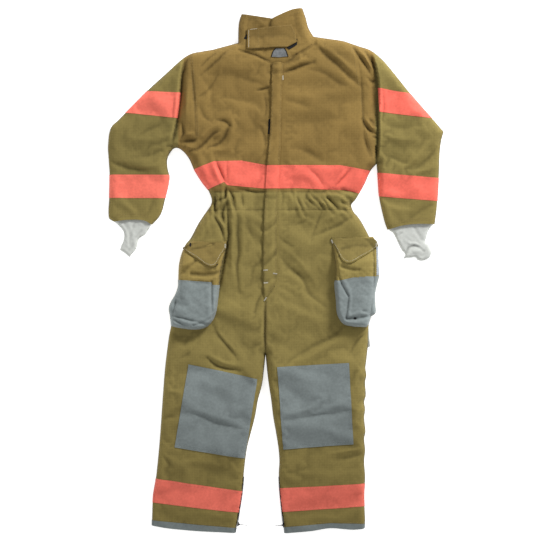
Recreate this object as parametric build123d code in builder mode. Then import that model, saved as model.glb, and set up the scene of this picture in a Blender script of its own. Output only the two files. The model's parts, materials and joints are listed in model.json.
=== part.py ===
"""Firefighter's one-piece turnout coverall, laid flat on its back.

Millimetres.  +Z is up out of the front of the coverall, +Y runs from the hems to the collar and +X
points to the wearer's left.  The origin is on the floor under the middle of the bounding box.

The garment is three layers deep: an outer shell with its moisture barrier, a quilted thermal liner
inside it, and the space for the wearer.  Every limb is a flattened tube.  The fabric folds along a few
lines, at the shoulders, elbows, hips, knees and collar, so the tubes are parted there and a fold line
is a hinge axis on the side that the fabric folds to.
"""

import os
from math import cos, radians, sin, tan

from build123d import *

os.makedirs("parts", exist_ok=True)

# ---- fabric ---------------------------------------------------------------------------------------
SHELL = 3.0  # outer shell and moisture barrier
LINER = 4.0  # quilted thermal liner
CASING = 2.0  # one layer of the waistband's casing
LAYER_GAP = 0.5  # between shell and liner
TRIM = 1.0  # fluorescent and reflective trim
GUARD = 1.5  # leather-like pocket guard
PATCH = 2.0  # padded knee patch
KNIT = 2.5  # wristlet knit
WRISTLET_LOW = 9.0  # its height inside the sleeve's liner
TAPE = 1.2  # hook tape
FOLD_GAP = 0.5  # from a fold line to the fabric on each side of it

# ---- how deep each flattened tube lies -------------------------------------------------------------
BODY_DEPTH = 46.0
SLEEVE_DEPTH = 40.0
LEG_DEPTH = 42.0
COLLAR_DEPTH = 42.0

# ---- fold lines, across the garment unless they say otherwise ---------------------------------------
NECK_Y = 700.0
WAIST_TOP_Y = 250.0
WAIST_FOOT_Y = 190.0
ELBOW_Y = 385.0
CROTCH_Y = -90.0
HIP_Y = -255.0
KNEE_Y = -425.0

# ---- front closure: its middle line leans to the wearer's left towards the collar -------------------
CLOSURE_X = -20.0  # of its middle line, at y = 0
CLOSURE_LEAN = 1.9  # degrees
CLOSURE_TOP = 672.0
CLOSURE_FOOT = -60.0
FLAP_FREE_X = -20.0  # across the closure, from its middle line
FLAP_HINGE_X = 18.0
ZIP_X = 5.0
ZIP_GAP = (-3.0, 13.0)
FLAP_DEPTH = 4.0
FLAP_LOW = BODY_DEPTH + 2.8  # the flap's underside, above the slider

# ---- outlines: the coverall's left and right edges, from the top down --------------------------------
SHOULDER = {"right": [(-120, 722), (-210, 706), (-275, 695)], "left": [(118, 748), (225, 728)]}
ARMHOLE = {"right": [(-290, 690), (-330, 395)], "left": [(308, 690), (320, 390)]}
CHEST_SIDE = {
    "right": [(-300, 388), (-278, 370), (-222, WAIST_TOP_Y)],
    "left": [(316, 388), (316, 350), (290, 315), (262, WAIST_TOP_Y)],
}
WAIST_SIDE = {"right": [(-206, 225)], "left": [(238, 215)]}
SEAT_SIDE = {
    "right": [(-212, WAIST_FOOT_Y), (-214, 178), (-250, 150), (-275, 105), (-300, 20), (-330, -140), (-348, HIP_Y + FOLD_GAP)],
    "left": [(247, WAIST_FOOT_Y), (249, 180), (272, 145), (292, 105), (303, 20), (290, -180), (285, HIP_Y + FOLD_GAP)],
}
INSEAM_X = {"right": -41.0, "left": -34.5}  # at the hip's fold line
CROTCH_X = {"right": -38.3, "left": -37.7}

SLEEVE = {
    "right": {
        "outer": [(-335, 655), (-400, 590), (-470, 510), (-525, 455), (-533, 400)],
        "outer_elbow": -532,
        "inner_elbow": -345,
        "forearm_outer": [(-532, 235), (-522, 160)],
        "forearm_inner": [(-395, 150), (-362, 190), (-343, 300)],
        "wristlet": [
            (-510, 185), (-510, 158), (-484, 112), (-496, 74), (-468, 48),
            (-448, 74), (-440, 105), (-409, 150), (-409, 185),
        ],
        "wrist_mouths": [(-482, 61), (-458, 61)],
        "upper_band": [(-560, 585), (-280, 563), (-280, 483), (-560, 513)],
        "forearm_band": [(-560, 309), (-320, 308), (-320, 234), (-560, 235)],
    },
    "left": {
        "outer": [(345, 662), (400, 597), (500, 480), (533, 445), (522, 420)],
        "outer_elbow": 519,
        "inner_elbow": 325,
        "forearm_outer": [(510, 240), (502, 150)],
        "forearm_inner": [(353, 135), (340, 190), (324, 300)],
        "wristlet": [
            (488, 182), (488, 146), (473, 112), (490, 85), (488, 55),
            (465, 42), (405, 47), (395, 70), (370, 140), (370, 182),
        ],
        "wrist_mouths": [(435, 44.5)],
        "upper_band": [(560, 548), (290, 587), (290, 511), (560, 477)],
        "forearm_band": [(540, 296), (300, 317), (300, 240), (540, 221)],
    },
}
LEG = {
    "right": {
        "thigh_outer": [(-348, HIP_Y - FOLD_GAP), (-363, KNEE_Y + FOLD_GAP)],
        "thigh_inner": [(-66, KNEE_Y + FOLD_GAP), (-44, -340), (-39, HIP_Y - FOLD_GAP)],
        "shin_outer": [(-363, KNEE_Y - FOLD_GAP), (-380, -650), (-396, -806)],
        "shin_inner": [(-129, -830), (-103, -620), (-66, KNEE_Y - FOLD_GAP)],
        "knee": [(-278, -290), (-62, -340), (-105, -588), (-322, -553)],
        "band": [(-420, -650), (-80, -699), (-80, -774), (-420, -725)],
        "guard": [(-430, -779), (-80, -809), (-80, -834.4), (-430, -802.9)],
    },
    "left": {
        "thigh_outer": [(285, HIP_Y - FOLD_GAP), (279, KNEE_Y + FOLD_GAP)],
        "thigh_inner": [(-15, KNEE_Y + FOLD_GAP), (-28, -340), (-34, HIP_Y - FOLD_GAP)],
        "shin_outer": [(279, KNEE_Y - FOLD_GAP), (277, -650), (281, -815)],
        "shin_inner": [(28, -833), (9, -630), (-15, KNEE_Y - FOLD_GAP)],
        "knee": [(0, -298), (230, -287), (243, -543), (22, -563)],
        "band": [(-30, -691), (310, -667), (310, -740), (-30, -765)],
        "guard": [(-30, -812.1), (310, -788.5), (310, -812.9), (-30, -837.1)],
    },
}
CHEST_BAND = [
    (-290, 310), (-262, 322), (-180, 350), (-35, 335), (240, 338), (300, 318), (330, 300),
    (300, 252), (264, 252), (150, 266), (-30, 262), (-160, 280), (-222, 258), (-260, 252),
]  # fmt: skip
POCKET = {
    "right": {
        "bag": [
            (-303, 80), (-172, 80), (-180, -40), (-186, -120), (-200, -158),
            (-240, -178), (-330, -172), (-340, -122), (-318, -60), (-312, 0),
        ],
        "mouth": (-237, 80),
        "guard_top": -28,
        "flap": [(-300, 100), (-158, 100), (-162, 70), (-190, 22), (-206, 18), (-300, 70)],
        "flap_hinge": 94,
    },
    "left": {
        "bag": [
            (182, 92), (318, 92), (325, 0), (322, -60), (312, -130),
            (292, -165), (240, -172), (208, -160), (192, -120), (184, -30),
        ],
        "mouth": (250, 92),
        "guard_top": -22,
        "flap": [(174, 112), (318, 112), (322, 84), (228, 32), (207, 36), (176, 90)],
        "flap_hinge": 106,
    },
}  # fmt: skip
POCKET_DEPTH = 38.0
POCKET_FABRIC = 2.5
FLAP_FABRIC = 3.0
COLLAR = [
    (-118, NECK_Y + FOLD_GAP), (-122, 760), (-113, 812), (-15, 803), (15, 818), (85, 833),
    (103, 780), (116, 745), (116, NECK_Y + FOLD_GAP),
]  # fmt: skip
COLLAR_FABRIC = 5.0
COLLAR_SLIT_X = -15.0

# ---- leg zips, on the inner wall of each shin ---------------------------------------------------------
LEG_ZIP_LENGTH = 182.0
LEG_ZIP_FOOT = 16.0  # from the hem to its first tooth
TEETH = 3.6
PIN_RADIUS = 0.8
PIN_FIT = 0.06
PULL_LENGTH = 26.0


def save(part, name):
    """Labels a finished piece and writes it."""
    part.label = name
    export_step(part, f"parts/{name}.step")


def inset(outline, walls, open_edges=(), mouths=0.0):
    """An outline set in by one amount along its walls and by another along its open edges."""
    pairs = list(zip(outline, outline[1:] + outline[:1]))
    turn = 1 if sum(a[0] * b[1] - b[0] * a[1] for a, b in pairs) > 0 else -1
    lines = []
    for i, (a, b) in enumerate(pairs):
        along = (Vector(*b) - Vector(*a)).normalized()
        inward = Vector(-along.Y, along.X) * turn
        lines.append((Vector(*a) + inward * (mouths if i in open_edges else walls), along))
    corners = []
    for (p, u), (q, v) in zip(lines[-1:] + lines[:-1], lines):
        reach = ((q.X - p.X) * v.Y - (q.Y - p.Y) * v.X) / (u.X * v.Y - u.Y * v.X)
        corners.append((p.X + u.X * reach, p.Y + u.Y * reach))
    return corners


def edges_at(outline, mouths):
    """The numbers of the outline's edges whose middles are nearest to the mouths."""
    pairs = list(zip(outline, outline[1:] + outline[:1]))
    return [
        min(range(len(pairs)), key=lambda i: (Vector(*middle(*pairs[i])) - Vector(*mouth)).length)
        for mouth in mouths
    ]


def fabric_shell(outline, low, high, thickness, mouths, open_low=False, open_high=False, less=()):
    """A flattened tube with fabric walls, open at its mouths, or half of one, open below or above."""
    open_edges = edges_at(outline, mouths)
    floor, ceiling = (low if open_low else low + thickness), (high if open_high else high - thickness)
    with BuildPart() as shell:
        with BuildSketch(Plane.XY.offset(low)):
            with BuildLine():
                Polyline(*outline, close=True)
            make_face()
        extrude(amount=high - low)
        with BuildSketch(Plane.XY.offset(floor)):
            with BuildLine():
                Polyline(*inset(outline, thickness, open_edges, -1.0), close=True)
            make_face()
        extrude(amount=ceiling - floor, mode=Mode.SUBTRACT)
        for cut in less:
            add(cut, mode=Mode.SUBTRACT)
    return shell.part


def wrapped_strip(outline, depth, band, thickness, mouths):
    """A strip sewn round a flattened tube, let into its underside so that the tube still lies flat."""
    with BuildPart() as strip:
        with BuildSketch():
            with BuildLine():
                Polyline(*inset(outline, -thickness, edges_at(outline, mouths)), close=True)
            make_face()
        extrude(amount=depth + thickness)
        with BuildSketch(Plane.XY.offset(thickness)):
            with BuildLine():
                Polyline(*outline, close=True)
            make_face()
        extrude(amount=depth - thickness, mode=Mode.SUBTRACT)
        with BuildSketch():
            with BuildLine():
                Polyline(*band, close=True)
            make_face()
        extrude(amount=depth + thickness, mode=Mode.INTERSECT)
    return strip.part


def closure_x(y, across):
    """The x of a line along the front closure, across from its middle line, at the height y."""
    lean = radians(CLOSURE_LEAN)
    return CLOSURE_X + y * tan(lean) + across / cos(lean)


def middle(a, b):
    """The middle of the edge between two outline points."""
    return ((a[0] + b[0]) / 2, (a[1] + b[1]) / 2)


closure = Plane(
    origin=(CLOSURE_X, 0, 0),
    x_dir=(cos(radians(CLOSURE_LEAN)), -sin(radians(CLOSURE_LEAN)), 0),
    z_dir=(0, 0, 1),
)
MID_DEPTH = BODY_DEPTH / 2

# ---- the body's outline, all the way round -----------------------------------------------------------
chest_edge = {side: SHOULDER[side] + ARMHOLE[side] + CHEST_SIDE[side] for side in ("right", "left")}
neck = {"right": (-120, NECK_Y), "left": (118, NECK_Y)}
bodice_outline = [neck["right"]] + chest_edge["right"] + chest_edge["left"][::-1] + [neck["left"]]
crotch_notch = [
    (INSEAM_X["right"], HIP_Y + FOLD_GAP), (CROTCH_X["right"], CROTCH_Y),
    (CROTCH_X["left"], CROTCH_Y), (INSEAM_X["left"], HIP_Y + FOLD_GAP),
]  # fmt: skip
seat_outline = SEAT_SIDE["right"] + crotch_notch + SEAT_SIDE["left"][::-1]
neck_mouth = middle(neck["right"], neck["left"])
waist_mouth = middle(CHEST_SIDE["right"][-1], CHEST_SIDE["left"][-1])
seat_mouth = middle(SEAT_SIDE["right"][0], SEAT_SIDE["left"][0])
armhole_mouth = {side: middle(*ARMHOLE[side]) for side in ("right", "left")}
hip_mouth = {
    side: middle(SEAT_SIDE[side][-1], (INSEAM_X[side], HIP_Y + FOLD_GAP)) for side in ("right", "left")
}
bodice_mouths = [neck_mouth, waist_mouth, *armhole_mouth.values()]
chest_trim_part = wrapped_strip(bodice_outline, BODY_DEPTH, CHEST_BAND, TRIM, bodice_mouths)

# ---- bodice -------------------------------------------------------------------------------------------
bodice_back = fabric_shell(
    bodice_outline, 0, MID_DEPTH, SHELL, bodice_mouths, open_high=True, less=[chest_trim_part]
)
save(bodice_back, "bodice_back")

for side, edge in (("right", ZIP_GAP[0]), ("left", ZIP_GAP[1])):
    front_edge = [(closure_x(WAIST_TOP_Y, edge), WAIST_TOP_Y), (closure_x(NECK_Y, edge), NECK_Y)]
    bodice_front = fabric_shell(
        [neck[side]] + chest_edge[side] + front_edge, MID_DEPTH, BODY_DEPTH, SHELL,
        [middle(neck[side], front_edge[1]), middle(chest_edge[side][-1], front_edge[0]),
         armhole_mouth[side], middle(*front_edge)],
        open_low=True, less=[chest_trim_part],
    )  # fmt: skip
    save(bodice_front, f"bodice_front_{side}")

# the chest trim stops short of the storm flap, which carries its own length of it
with BuildPart() as chest_trim:
    add(chest_trim_part)
    with BuildSketch(closure.offset(MID_DEPTH)):
        with Locations(((FLAP_FREE_X + FLAP_HINGE_X) / 2 + 2, 300)):
            Rectangle(FLAP_HINGE_X - FLAP_FREE_X + 8, 200)
    extrude(amount=BODY_DEPTH, mode=Mode.SUBTRACT)
save(chest_trim.part, "chest_trim")

# ---- waistband: a casing round the waist with elastic in it --------------------------------------------
WAIST_TOP = WAIST_TOP_Y - LAYER_GAP
WAIST_FOOT = WAIST_FOOT_Y + LAYER_GAP
waist_edge = {
    "right": [(-221, WAIST_TOP), WAIST_SIDE["right"][0], (-211, WAIST_FOOT)],
    "left": [(261, WAIST_TOP), WAIST_SIDE["left"][0], (246, WAIST_FOOT)],
}
casing = [
    fabric_shell(
        waist_edge["right"] + waist_edge["left"][::-1], 0, MID_DEPTH, CASING,
        [middle(waist_edge["right"][0], waist_edge["left"][0]),
         middle(waist_edge["right"][-1], waist_edge["left"][-1])],
        open_high=True,
    )
]  # fmt: skip
for side, edge in (("right", ZIP_GAP[0]), ("left", ZIP_GAP[1])):
    front_edge = [(closure_x(WAIST_FOOT, edge), WAIST_FOOT), (closure_x(WAIST_TOP, edge), WAIST_TOP)]
    casing.append(
        fabric_shell(
            waist_edge[side] + front_edge, MID_DEPTH, BODY_DEPTH, CASING,
            [middle(waist_edge[side][0], front_edge[1]), middle(waist_edge[side][-1], front_edge[0]),
             middle(*front_edge)],
            open_low=True,
        )
    )  # fmt: skip
with BuildPart() as waistband:
    for piece in casing:
        add(piece)
save(waistband.part, "waistband")

ELASTIC = 1.2
ELASTIC_WIDTH = 45.0
with BuildPart() as waist_elastic:
    with Locations((16, 220, CASING + ELASTIC / 2)):
        Box(400, ELASTIC_WIDTH, ELASTIC)
    with Locations((-135, 220, BODY_DEPTH - CASING - ELASTIC / 2), (158, 220, BODY_DEPTH - CASING - ELASTIC / 2)):
        Box(110, ELASTIC_WIDTH, ELASTIC)
save(waist_elastic.part, "waist_elastic")

# ---- seat and upper thighs ------------------------------------------------------------------------------
seat_back = fabric_shell(
    seat_outline, 0, MID_DEPTH, SHELL, [seat_mouth, hip_mouth["right"], hip_mouth["left"]], open_high=True
)
save(seat_back, "seat_back")

for side, edge in (("right", ZIP_GAP[0]), ("left", ZIP_GAP[1])):
    front_edge = [
        (closure_x(CLOSURE_FOOT, edge), CLOSURE_FOOT), (closure_x(WAIST_FOOT_Y, edge), WAIST_FOOT_Y),
    ]  # fmt: skip
    inseam = [(INSEAM_X[side], HIP_Y + FOLD_GAP), (CROTCH_X[side], CROTCH_Y)]
    seat_front = fabric_shell(
        SEAT_SIDE[side] + inseam + front_edge, MID_DEPTH, BODY_DEPTH, SHELL,
        [middle(SEAT_SIDE[side][0], front_edge[1]), hip_mouth[side], middle(*front_edge)],
        open_low=True,
    )  # fmt: skip
    save(seat_front, f"seat_front_{side}")

# ---- thermal liner of the body: a back and two fronts that stop at the zip --------------------------------
LINER_INSET = SHELL + LAYER_GAP
LINER_TOP = BODY_DEPTH - LINER_INSET
LINER_CLEAR = 12.0  # from the zip's gap to the liner's front edge
LINER_CROTCH = {"right": (-56, -80), "left": (0, -110)}
body_edge = {side: chest_edge[side] + WAIST_SIDE[side] + SEAT_SIDE[side] for side in ("right", "left")}
body_outline = [neck["right"]] + body_edge["right"] + crotch_notch + body_edge["left"][::-1] + [neck["left"]]
back_mouths = [neck_mouth, *armhole_mouth.values(), *hip_mouth.values()]
liner_pieces = [
    fabric_shell(
        inset(body_outline, LINER_INSET, edges_at(body_outline, back_mouths)),
        LINER_INSET, MID_DEPTH, LINER, back_mouths, open_high=True,
    )
]  # fmt: skip
for side, edge in (("right", ZIP_GAP[0] - LINER_CLEAR), ("left", ZIP_GAP[1] + LINER_CLEAR)):
    front_edge = [(closure_x(-20, edge), -20), (closure_x(NECK_Y, edge), NECK_Y)]
    inseam = [(INSEAM_X[side], HIP_Y + FOLD_GAP), LINER_CROTCH[side]]
    front_outline = [neck[side]] + body_edge[side] + inseam + front_edge
    front_mouths = [
        middle(neck[side], front_edge[1]), armhole_mouth[side], hip_mouth[side],
        middle(inseam[1], front_edge[0]), middle(*front_edge),
    ]  # fmt: skip
    liner_pieces.append(
        fabric_shell(
            inset(front_outline, LINER_INSET, edges_at(front_outline, front_mouths)),
            MID_DEPTH, LINER_TOP, LINER, front_mouths, open_low=True,
        )
    )  # fmt: skip
with BuildPart() as body_liner:
    for piece in liner_pieces:
        add(piece)
save(body_liner.part, "body_liner")

# ---- hanger loop and label, inside the back of the neck -----------------------------------------------------
LOOP_SPAN, LOOP_RISE, WEBBING, LOOP_Y = 56.0, 12.0, 1.6, 678.0
LINER_FACE = LINER_INSET + LINER
with BuildPart() as hanger_loop:
    with BuildSketch(Plane.XZ.offset(-LOOP_Y)):
        with Locations((0, LINER_FACE + LOOP_RISE / 2)):
            Rectangle(LOOP_SPAN, LOOP_RISE)
        with Locations((0, LINER_FACE + (LOOP_RISE - WEBBING) / 2)):
            Rectangle(LOOP_SPAN - 2 * WEBBING, LOOP_RISE - WEBBING, mode=Mode.SUBTRACT)
    extrude(amount=12, both=False)
save(hanger_loop.part, "hanger_loop")

LABEL = (46.0, 28.0, 0.6)
with BuildPart() as neck_label:
    with Locations((8, 644, LINER_FACE + LABEL[2] / 2)):
        Box(*LABEL)
save(neck_label.part, "neck_label")

# ---- main zip: two tapes under the fronts' edges, closed teeth between them, stops at both ends ---------------
TAPE_WIDE = 15.2
ZIP_TAPE = 0.9
TAPE_Z = BODY_DEPTH - SHELL - ZIP_TAPE
ZIP_TOP, ZIP_FOOT = 668.0, -52.0
TEETH_LOW, TEETH_HIGH = TAPE_Z - 1.0, TAPE_Z + 2.3
with BuildPart() as main_zip_chain:
    with BuildSketch(closure.offset(TAPE_Z)):
        with Locations(
            (ZIP_X - TEETH / 2 - TAPE_WIDE / 2, (ZIP_TOP + ZIP_FOOT) / 2),
            (ZIP_X + TEETH / 2 + TAPE_WIDE / 2, (ZIP_TOP + ZIP_FOOT) / 2),
        ):
            Rectangle(TAPE_WIDE, ZIP_TOP - ZIP_FOOT)
    extrude(amount=ZIP_TAPE)
    with BuildSketch(closure.offset(TEETH_LOW)):
        with Locations((ZIP_X, (ZIP_TOP + ZIP_FOOT) / 2)):
            Rectangle(TEETH, ZIP_TOP - ZIP_FOOT)
        with Locations((ZIP_X, ZIP_TOP - 2), (ZIP_X, ZIP_FOOT + 2)):
            Rectangle(2 * TEETH, 4)
    extrude(amount=TEETH_HIGH - TEETH_LOW)
save(main_zip_chain.part, "main_zip_chain")

# a saddle that rides over the teeth, with its pull lying down the zip
SLIDER_Y, SLIDER_LONG, SLIDER_WIDE, SLIDER_FIT = 652.0, 14.0, 9.4, 0.2
with BuildPart() as main_zip_slider:
    with BuildSketch(closure.offset(TAPE_Z + ZIP_TAPE + SLIDER_FIT)):
        with Locations((ZIP_X, SLIDER_Y)):
            Rectangle(SLIDER_WIDE, SLIDER_LONG)
    extrude(amount=3.2)
    with BuildSketch(closure.offset(TAPE_Z)):
        with Locations((ZIP_X, SLIDER_Y)):
            Rectangle(TEETH + 2 * SLIDER_FIT, SLIDER_LONG)
    extrude(amount=TEETH_HIGH - TAPE_Z + SLIDER_FIT, mode=Mode.SUBTRACT)
    with BuildSketch(closure.offset(TAPE_Z + ZIP_TAPE + SLIDER_FIT + 3.2)):
        with Locations((ZIP_X, SLIDER_Y - 16)):
            Rectangle(7, 32)
        with Locations((ZIP_X, SLIDER_Y - 26)):
            Rectangle(3, 8, mode=Mode.SUBTRACT)
    extrude(amount=1.2)
save(main_zip_slider.part, "main_zip_slider")

with BuildPart() as placket_hook_tape:
    with BuildSketch(closure.offset(BODY_DEPTH)):
        for y_mid, length in ((590, 130), (430, 130), (60, 180)):
            with Locations((FLAP_FREE_X + 8, y_mid)):
                Rectangle(14, length)
    extrude(amount=TAPE)
save(placket_hook_tape.part, "placket_hook_tape")

# ---- storm flap: hinged where it's sewn to the left front, and free over the zip.  A sewn edge tapers down
# to the fabric under it, so that the flap can be turned right back.
FLAP_HIGH = FLAP_LOW + FLAP_DEPTH
SEAM_Z = 0.3  # from the fabric under a flap to its sewn edge
flap_outline = [
    (FLAP_FREE_X, CLOSURE_TOP), (FLAP_HINGE_X, CLOSURE_TOP), (FLAP_HINGE_X, -5),
    (4, -50), (-12, -86), (FLAP_FREE_X, -86),
]  # fmt: skip
flap_section = [
    (FLAP_FREE_X, FLAP_LOW), (FLAP_HINGE_X - 6, FLAP_LOW), (FLAP_HINGE_X - 4, BODY_DEPTH + SEAM_Z),
    (FLAP_HINGE_X, BODY_DEPTH + SEAM_Z), (FLAP_HINGE_X - 12, FLAP_HIGH), (FLAP_FREE_X, FLAP_HIGH),
]  # fmt: skip
across_closure = Plane(
    origin=closure.from_local_coords(Vector(0, -100, 0)), x_dir=closure.x_dir, z_dir=-closure.y_dir
)
with BuildPart() as storm_flap:
    with BuildSketch(across_closure):
        with BuildLine():
            Polyline(*flap_section, close=True)
        make_face()
    extrude(amount=-800)
    with BuildSketch(closure):
        with BuildLine():
            Polyline(*flap_outline, close=True)
        make_face()
    extrude(amount=FLAP_HIGH, mode=Mode.INTERSECT)
save(storm_flap.part, "storm_flap")

with BuildPart() as storm_flap_trim:
    with BuildSketch(closure.offset(FLAP_HIGH)):
        with Locations(((FLAP_FREE_X + FLAP_HINGE_X - 12) / 2, 299)):
            Rectangle(FLAP_HINGE_X - 12 - FLAP_FREE_X, 74)
    extrude(amount=TRIM)
save(storm_flap_trim.part, "storm_flap_trim")

# ---- collar, its hook tape and the throat tab ---------------------------------------------------------------------
collar_mouths = [middle(COLLAR[0], COLLAR[-1])] + [middle(COLLAR[i], COLLAR[i + 1]) for i in (2, 3, 4)]
with BuildPart() as collar:
    add(fabric_shell(COLLAR, 0, COLLAR_DEPTH, COLLAR_FABRIC, collar_mouths))
    with Locations((COLLAR_SLIT_X, 765, COLLAR_DEPTH - COLLAR_FABRIC / 2)):
        Box(2, 160, 2 * COLLAR_FABRIC, mode=Mode.SUBTRACT)
save(collar.part, "collar")

with BuildPart() as collar_hook_tape:
    with Locations((-84, 740, COLLAR_DEPTH + TAPE / 2), (37, 732, COLLAR_DEPTH + TAPE / 2)):
        Box(36, 40, TAPE)
save(collar_hook_tape.part, "collar_hook_tape")

TAB_FREE_X, TAB_HINGE_X = -92.0, 62.0
TAB_LOW, TAB_HIGH = COLLAR_DEPTH + TAPE + 0.3, COLLAR_DEPTH + TAPE + 4.3
tab_section = [
    (TAB_FREE_X, TAB_LOW), (TAB_HINGE_X - 5, TAB_LOW), (TAB_HINGE_X - 3.5, COLLAR_DEPTH + SEAM_Z),
    (TAB_HINGE_X, COLLAR_DEPTH + SEAM_Z), (TAB_HINGE_X - 9.5, TAB_HIGH), (TAB_FREE_X, TAB_HIGH),
]  # fmt: skip
with BuildPart() as throat_tab:
    with BuildSketch(Plane.XZ.offset(-800)):
        with BuildLine():
            Polyline(*tab_section, close=True)
        make_face()
    extrude(amount=100)
    with BuildSketch():
        with BuildLine():
            Polyline(
                (TAB_FREE_X, 768), (35, 772), (TAB_HINGE_X, 768), (TAB_HINGE_X, 722), (32, 706),
                (TAB_FREE_X, 703), close=True,
            )  # fmt: skip
        make_face()
    extrude(amount=TAB_HIGH, mode=Mode.INTERSECT)
save(throat_tab.part, "throat_tab")

# ---- bellows pockets, their guards and flaps --------------------------------------------------------------------------
POCKET_TOP = BODY_DEPTH + POCKET_DEPTH
pocket_parts, guard_parts = [], []
for side, pocket in POCKET.items():
    pocket_parts.append(
        fabric_shell(
            pocket["bag"], BODY_DEPTH, POCKET_TOP, POCKET_FABRIC, [pocket["mouth"]],
        )
    )  # fmt: skip
    with BuildPart() as guard:
        with BuildSketch(Plane.XY.offset(BODY_DEPTH)):
            with BuildLine():
                Polyline(*pocket["bag"], close=True)
            make_face()
            offset(amount=GUARD, kind=Kind.INTERSECTION)
            with Locations((0, pocket["guard_top"] + 200)):
                Rectangle(800, 400, mode=Mode.SUBTRACT)
        extrude(amount=POCKET_DEPTH + GUARD)
        with BuildSketch(Plane.XY.offset(BODY_DEPTH)):
            with BuildLine():
                Polyline(*pocket["bag"], close=True)
            make_face()
        extrude(amount=POCKET_DEPTH, mode=Mode.SUBTRACT)
    guard_parts.append(guard.part)

    # the flap rises from its seam above the pocket, turns over the pocket's edge and lies on its face
    hinge_y = pocket["flap_hinge"]
    inner_top = POCKET_TOP + 0.5
    outer_top = inner_top + FLAP_FABRIC
    with BuildPart() as pocket_flap:
        with BuildSketch(Plane.YZ.offset(-400)):
            with BuildLine():
                Polyline(
                    (hinge_y - 3.5, BODY_DEPTH + SEAM_Z), (hinge_y - 11.5, inner_top), (10, inner_top),
                    (10, outer_top), (hinge_y - 8.5, outer_top), (hinge_y, BODY_DEPTH + SEAM_Z), close=True,
                )  # fmt: skip
            make_face()
        extrude(amount=800)
        with BuildSketch():
            with BuildLine():
                Polyline(*pocket["flap"], close=True)
            make_face()
        extrude(amount=outer_top, mode=Mode.INTERSECT)
    save(pocket_flap.part, f"pocket_flap_{side}")

for name, pieces in (("pocket_bags", pocket_parts), ("pocket_guards", guard_parts)):
    with BuildPart() as pair:
        for piece in pieces:
            add(piece)
    save(pair.part, name)

# ---- sleeves ---------------------------------------------------------------------------------------------------------------
for side, s in SLEEVE.items():
    out = -1 if side == "right" else 1
    top, foot = ((x + out * FOLD_GAP, y) for x, y in ARMHOLE[side])
    upper = [top] + s["outer"] + [
        (s["outer_elbow"], ELBOW_Y + FOLD_GAP), (s["inner_elbow"], ELBOW_Y + FOLD_GAP), foot,
    ]  # fmt: skip
    elbow_mouth = middle((s["outer_elbow"], ELBOW_Y), (s["inner_elbow"], ELBOW_Y))
    upper_mouths = [middle(top, foot), elbow_mouth]
    forearm = (
        [(s["outer_elbow"], ELBOW_Y - FOLD_GAP)]
        + s["forearm_outer"]
        + s["forearm_inner"]
        + [(s["inner_elbow"], ELBOW_Y - FOLD_GAP)]
    )
    forearm_mouths = [elbow_mouth, middle(s["forearm_outer"][-1], s["forearm_inner"][0])]

    for name, outline, mouths, band in (
        ("upper_sleeve", upper, upper_mouths, s["upper_band"]),
        ("forearm", forearm, forearm_mouths, s["forearm_band"]),
    ):
        trim = wrapped_strip(outline, SLEEVE_DEPTH, band, TRIM, mouths)
        save(trim, f"{name}_trim_{side}")
        save(fabric_shell(outline, 0, SLEEVE_DEPTH, SHELL, mouths, less=[trim]), f"{name}_{side}")
        liner_outline = inset(outline, LINER_INSET, edges_at(outline, mouths))
        liner = fabric_shell(liner_outline, LINER_INSET, SLEEVE_DEPTH - LINER_INSET, LINER, mouths)
        save(liner, f"{name}_liner_{side}")

    wrist = s["wristlet"]
    wrist_mouths = [middle(wrist[0], wrist[-1])] + s["wrist_mouths"]
    wristlet = fabric_shell(wrist, WRISTLET_LOW, SLEEVE_DEPTH - WRISTLET_LOW, KNIT, wrist_mouths)
    save(wristlet, f"wristlet_{side}")

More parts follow.
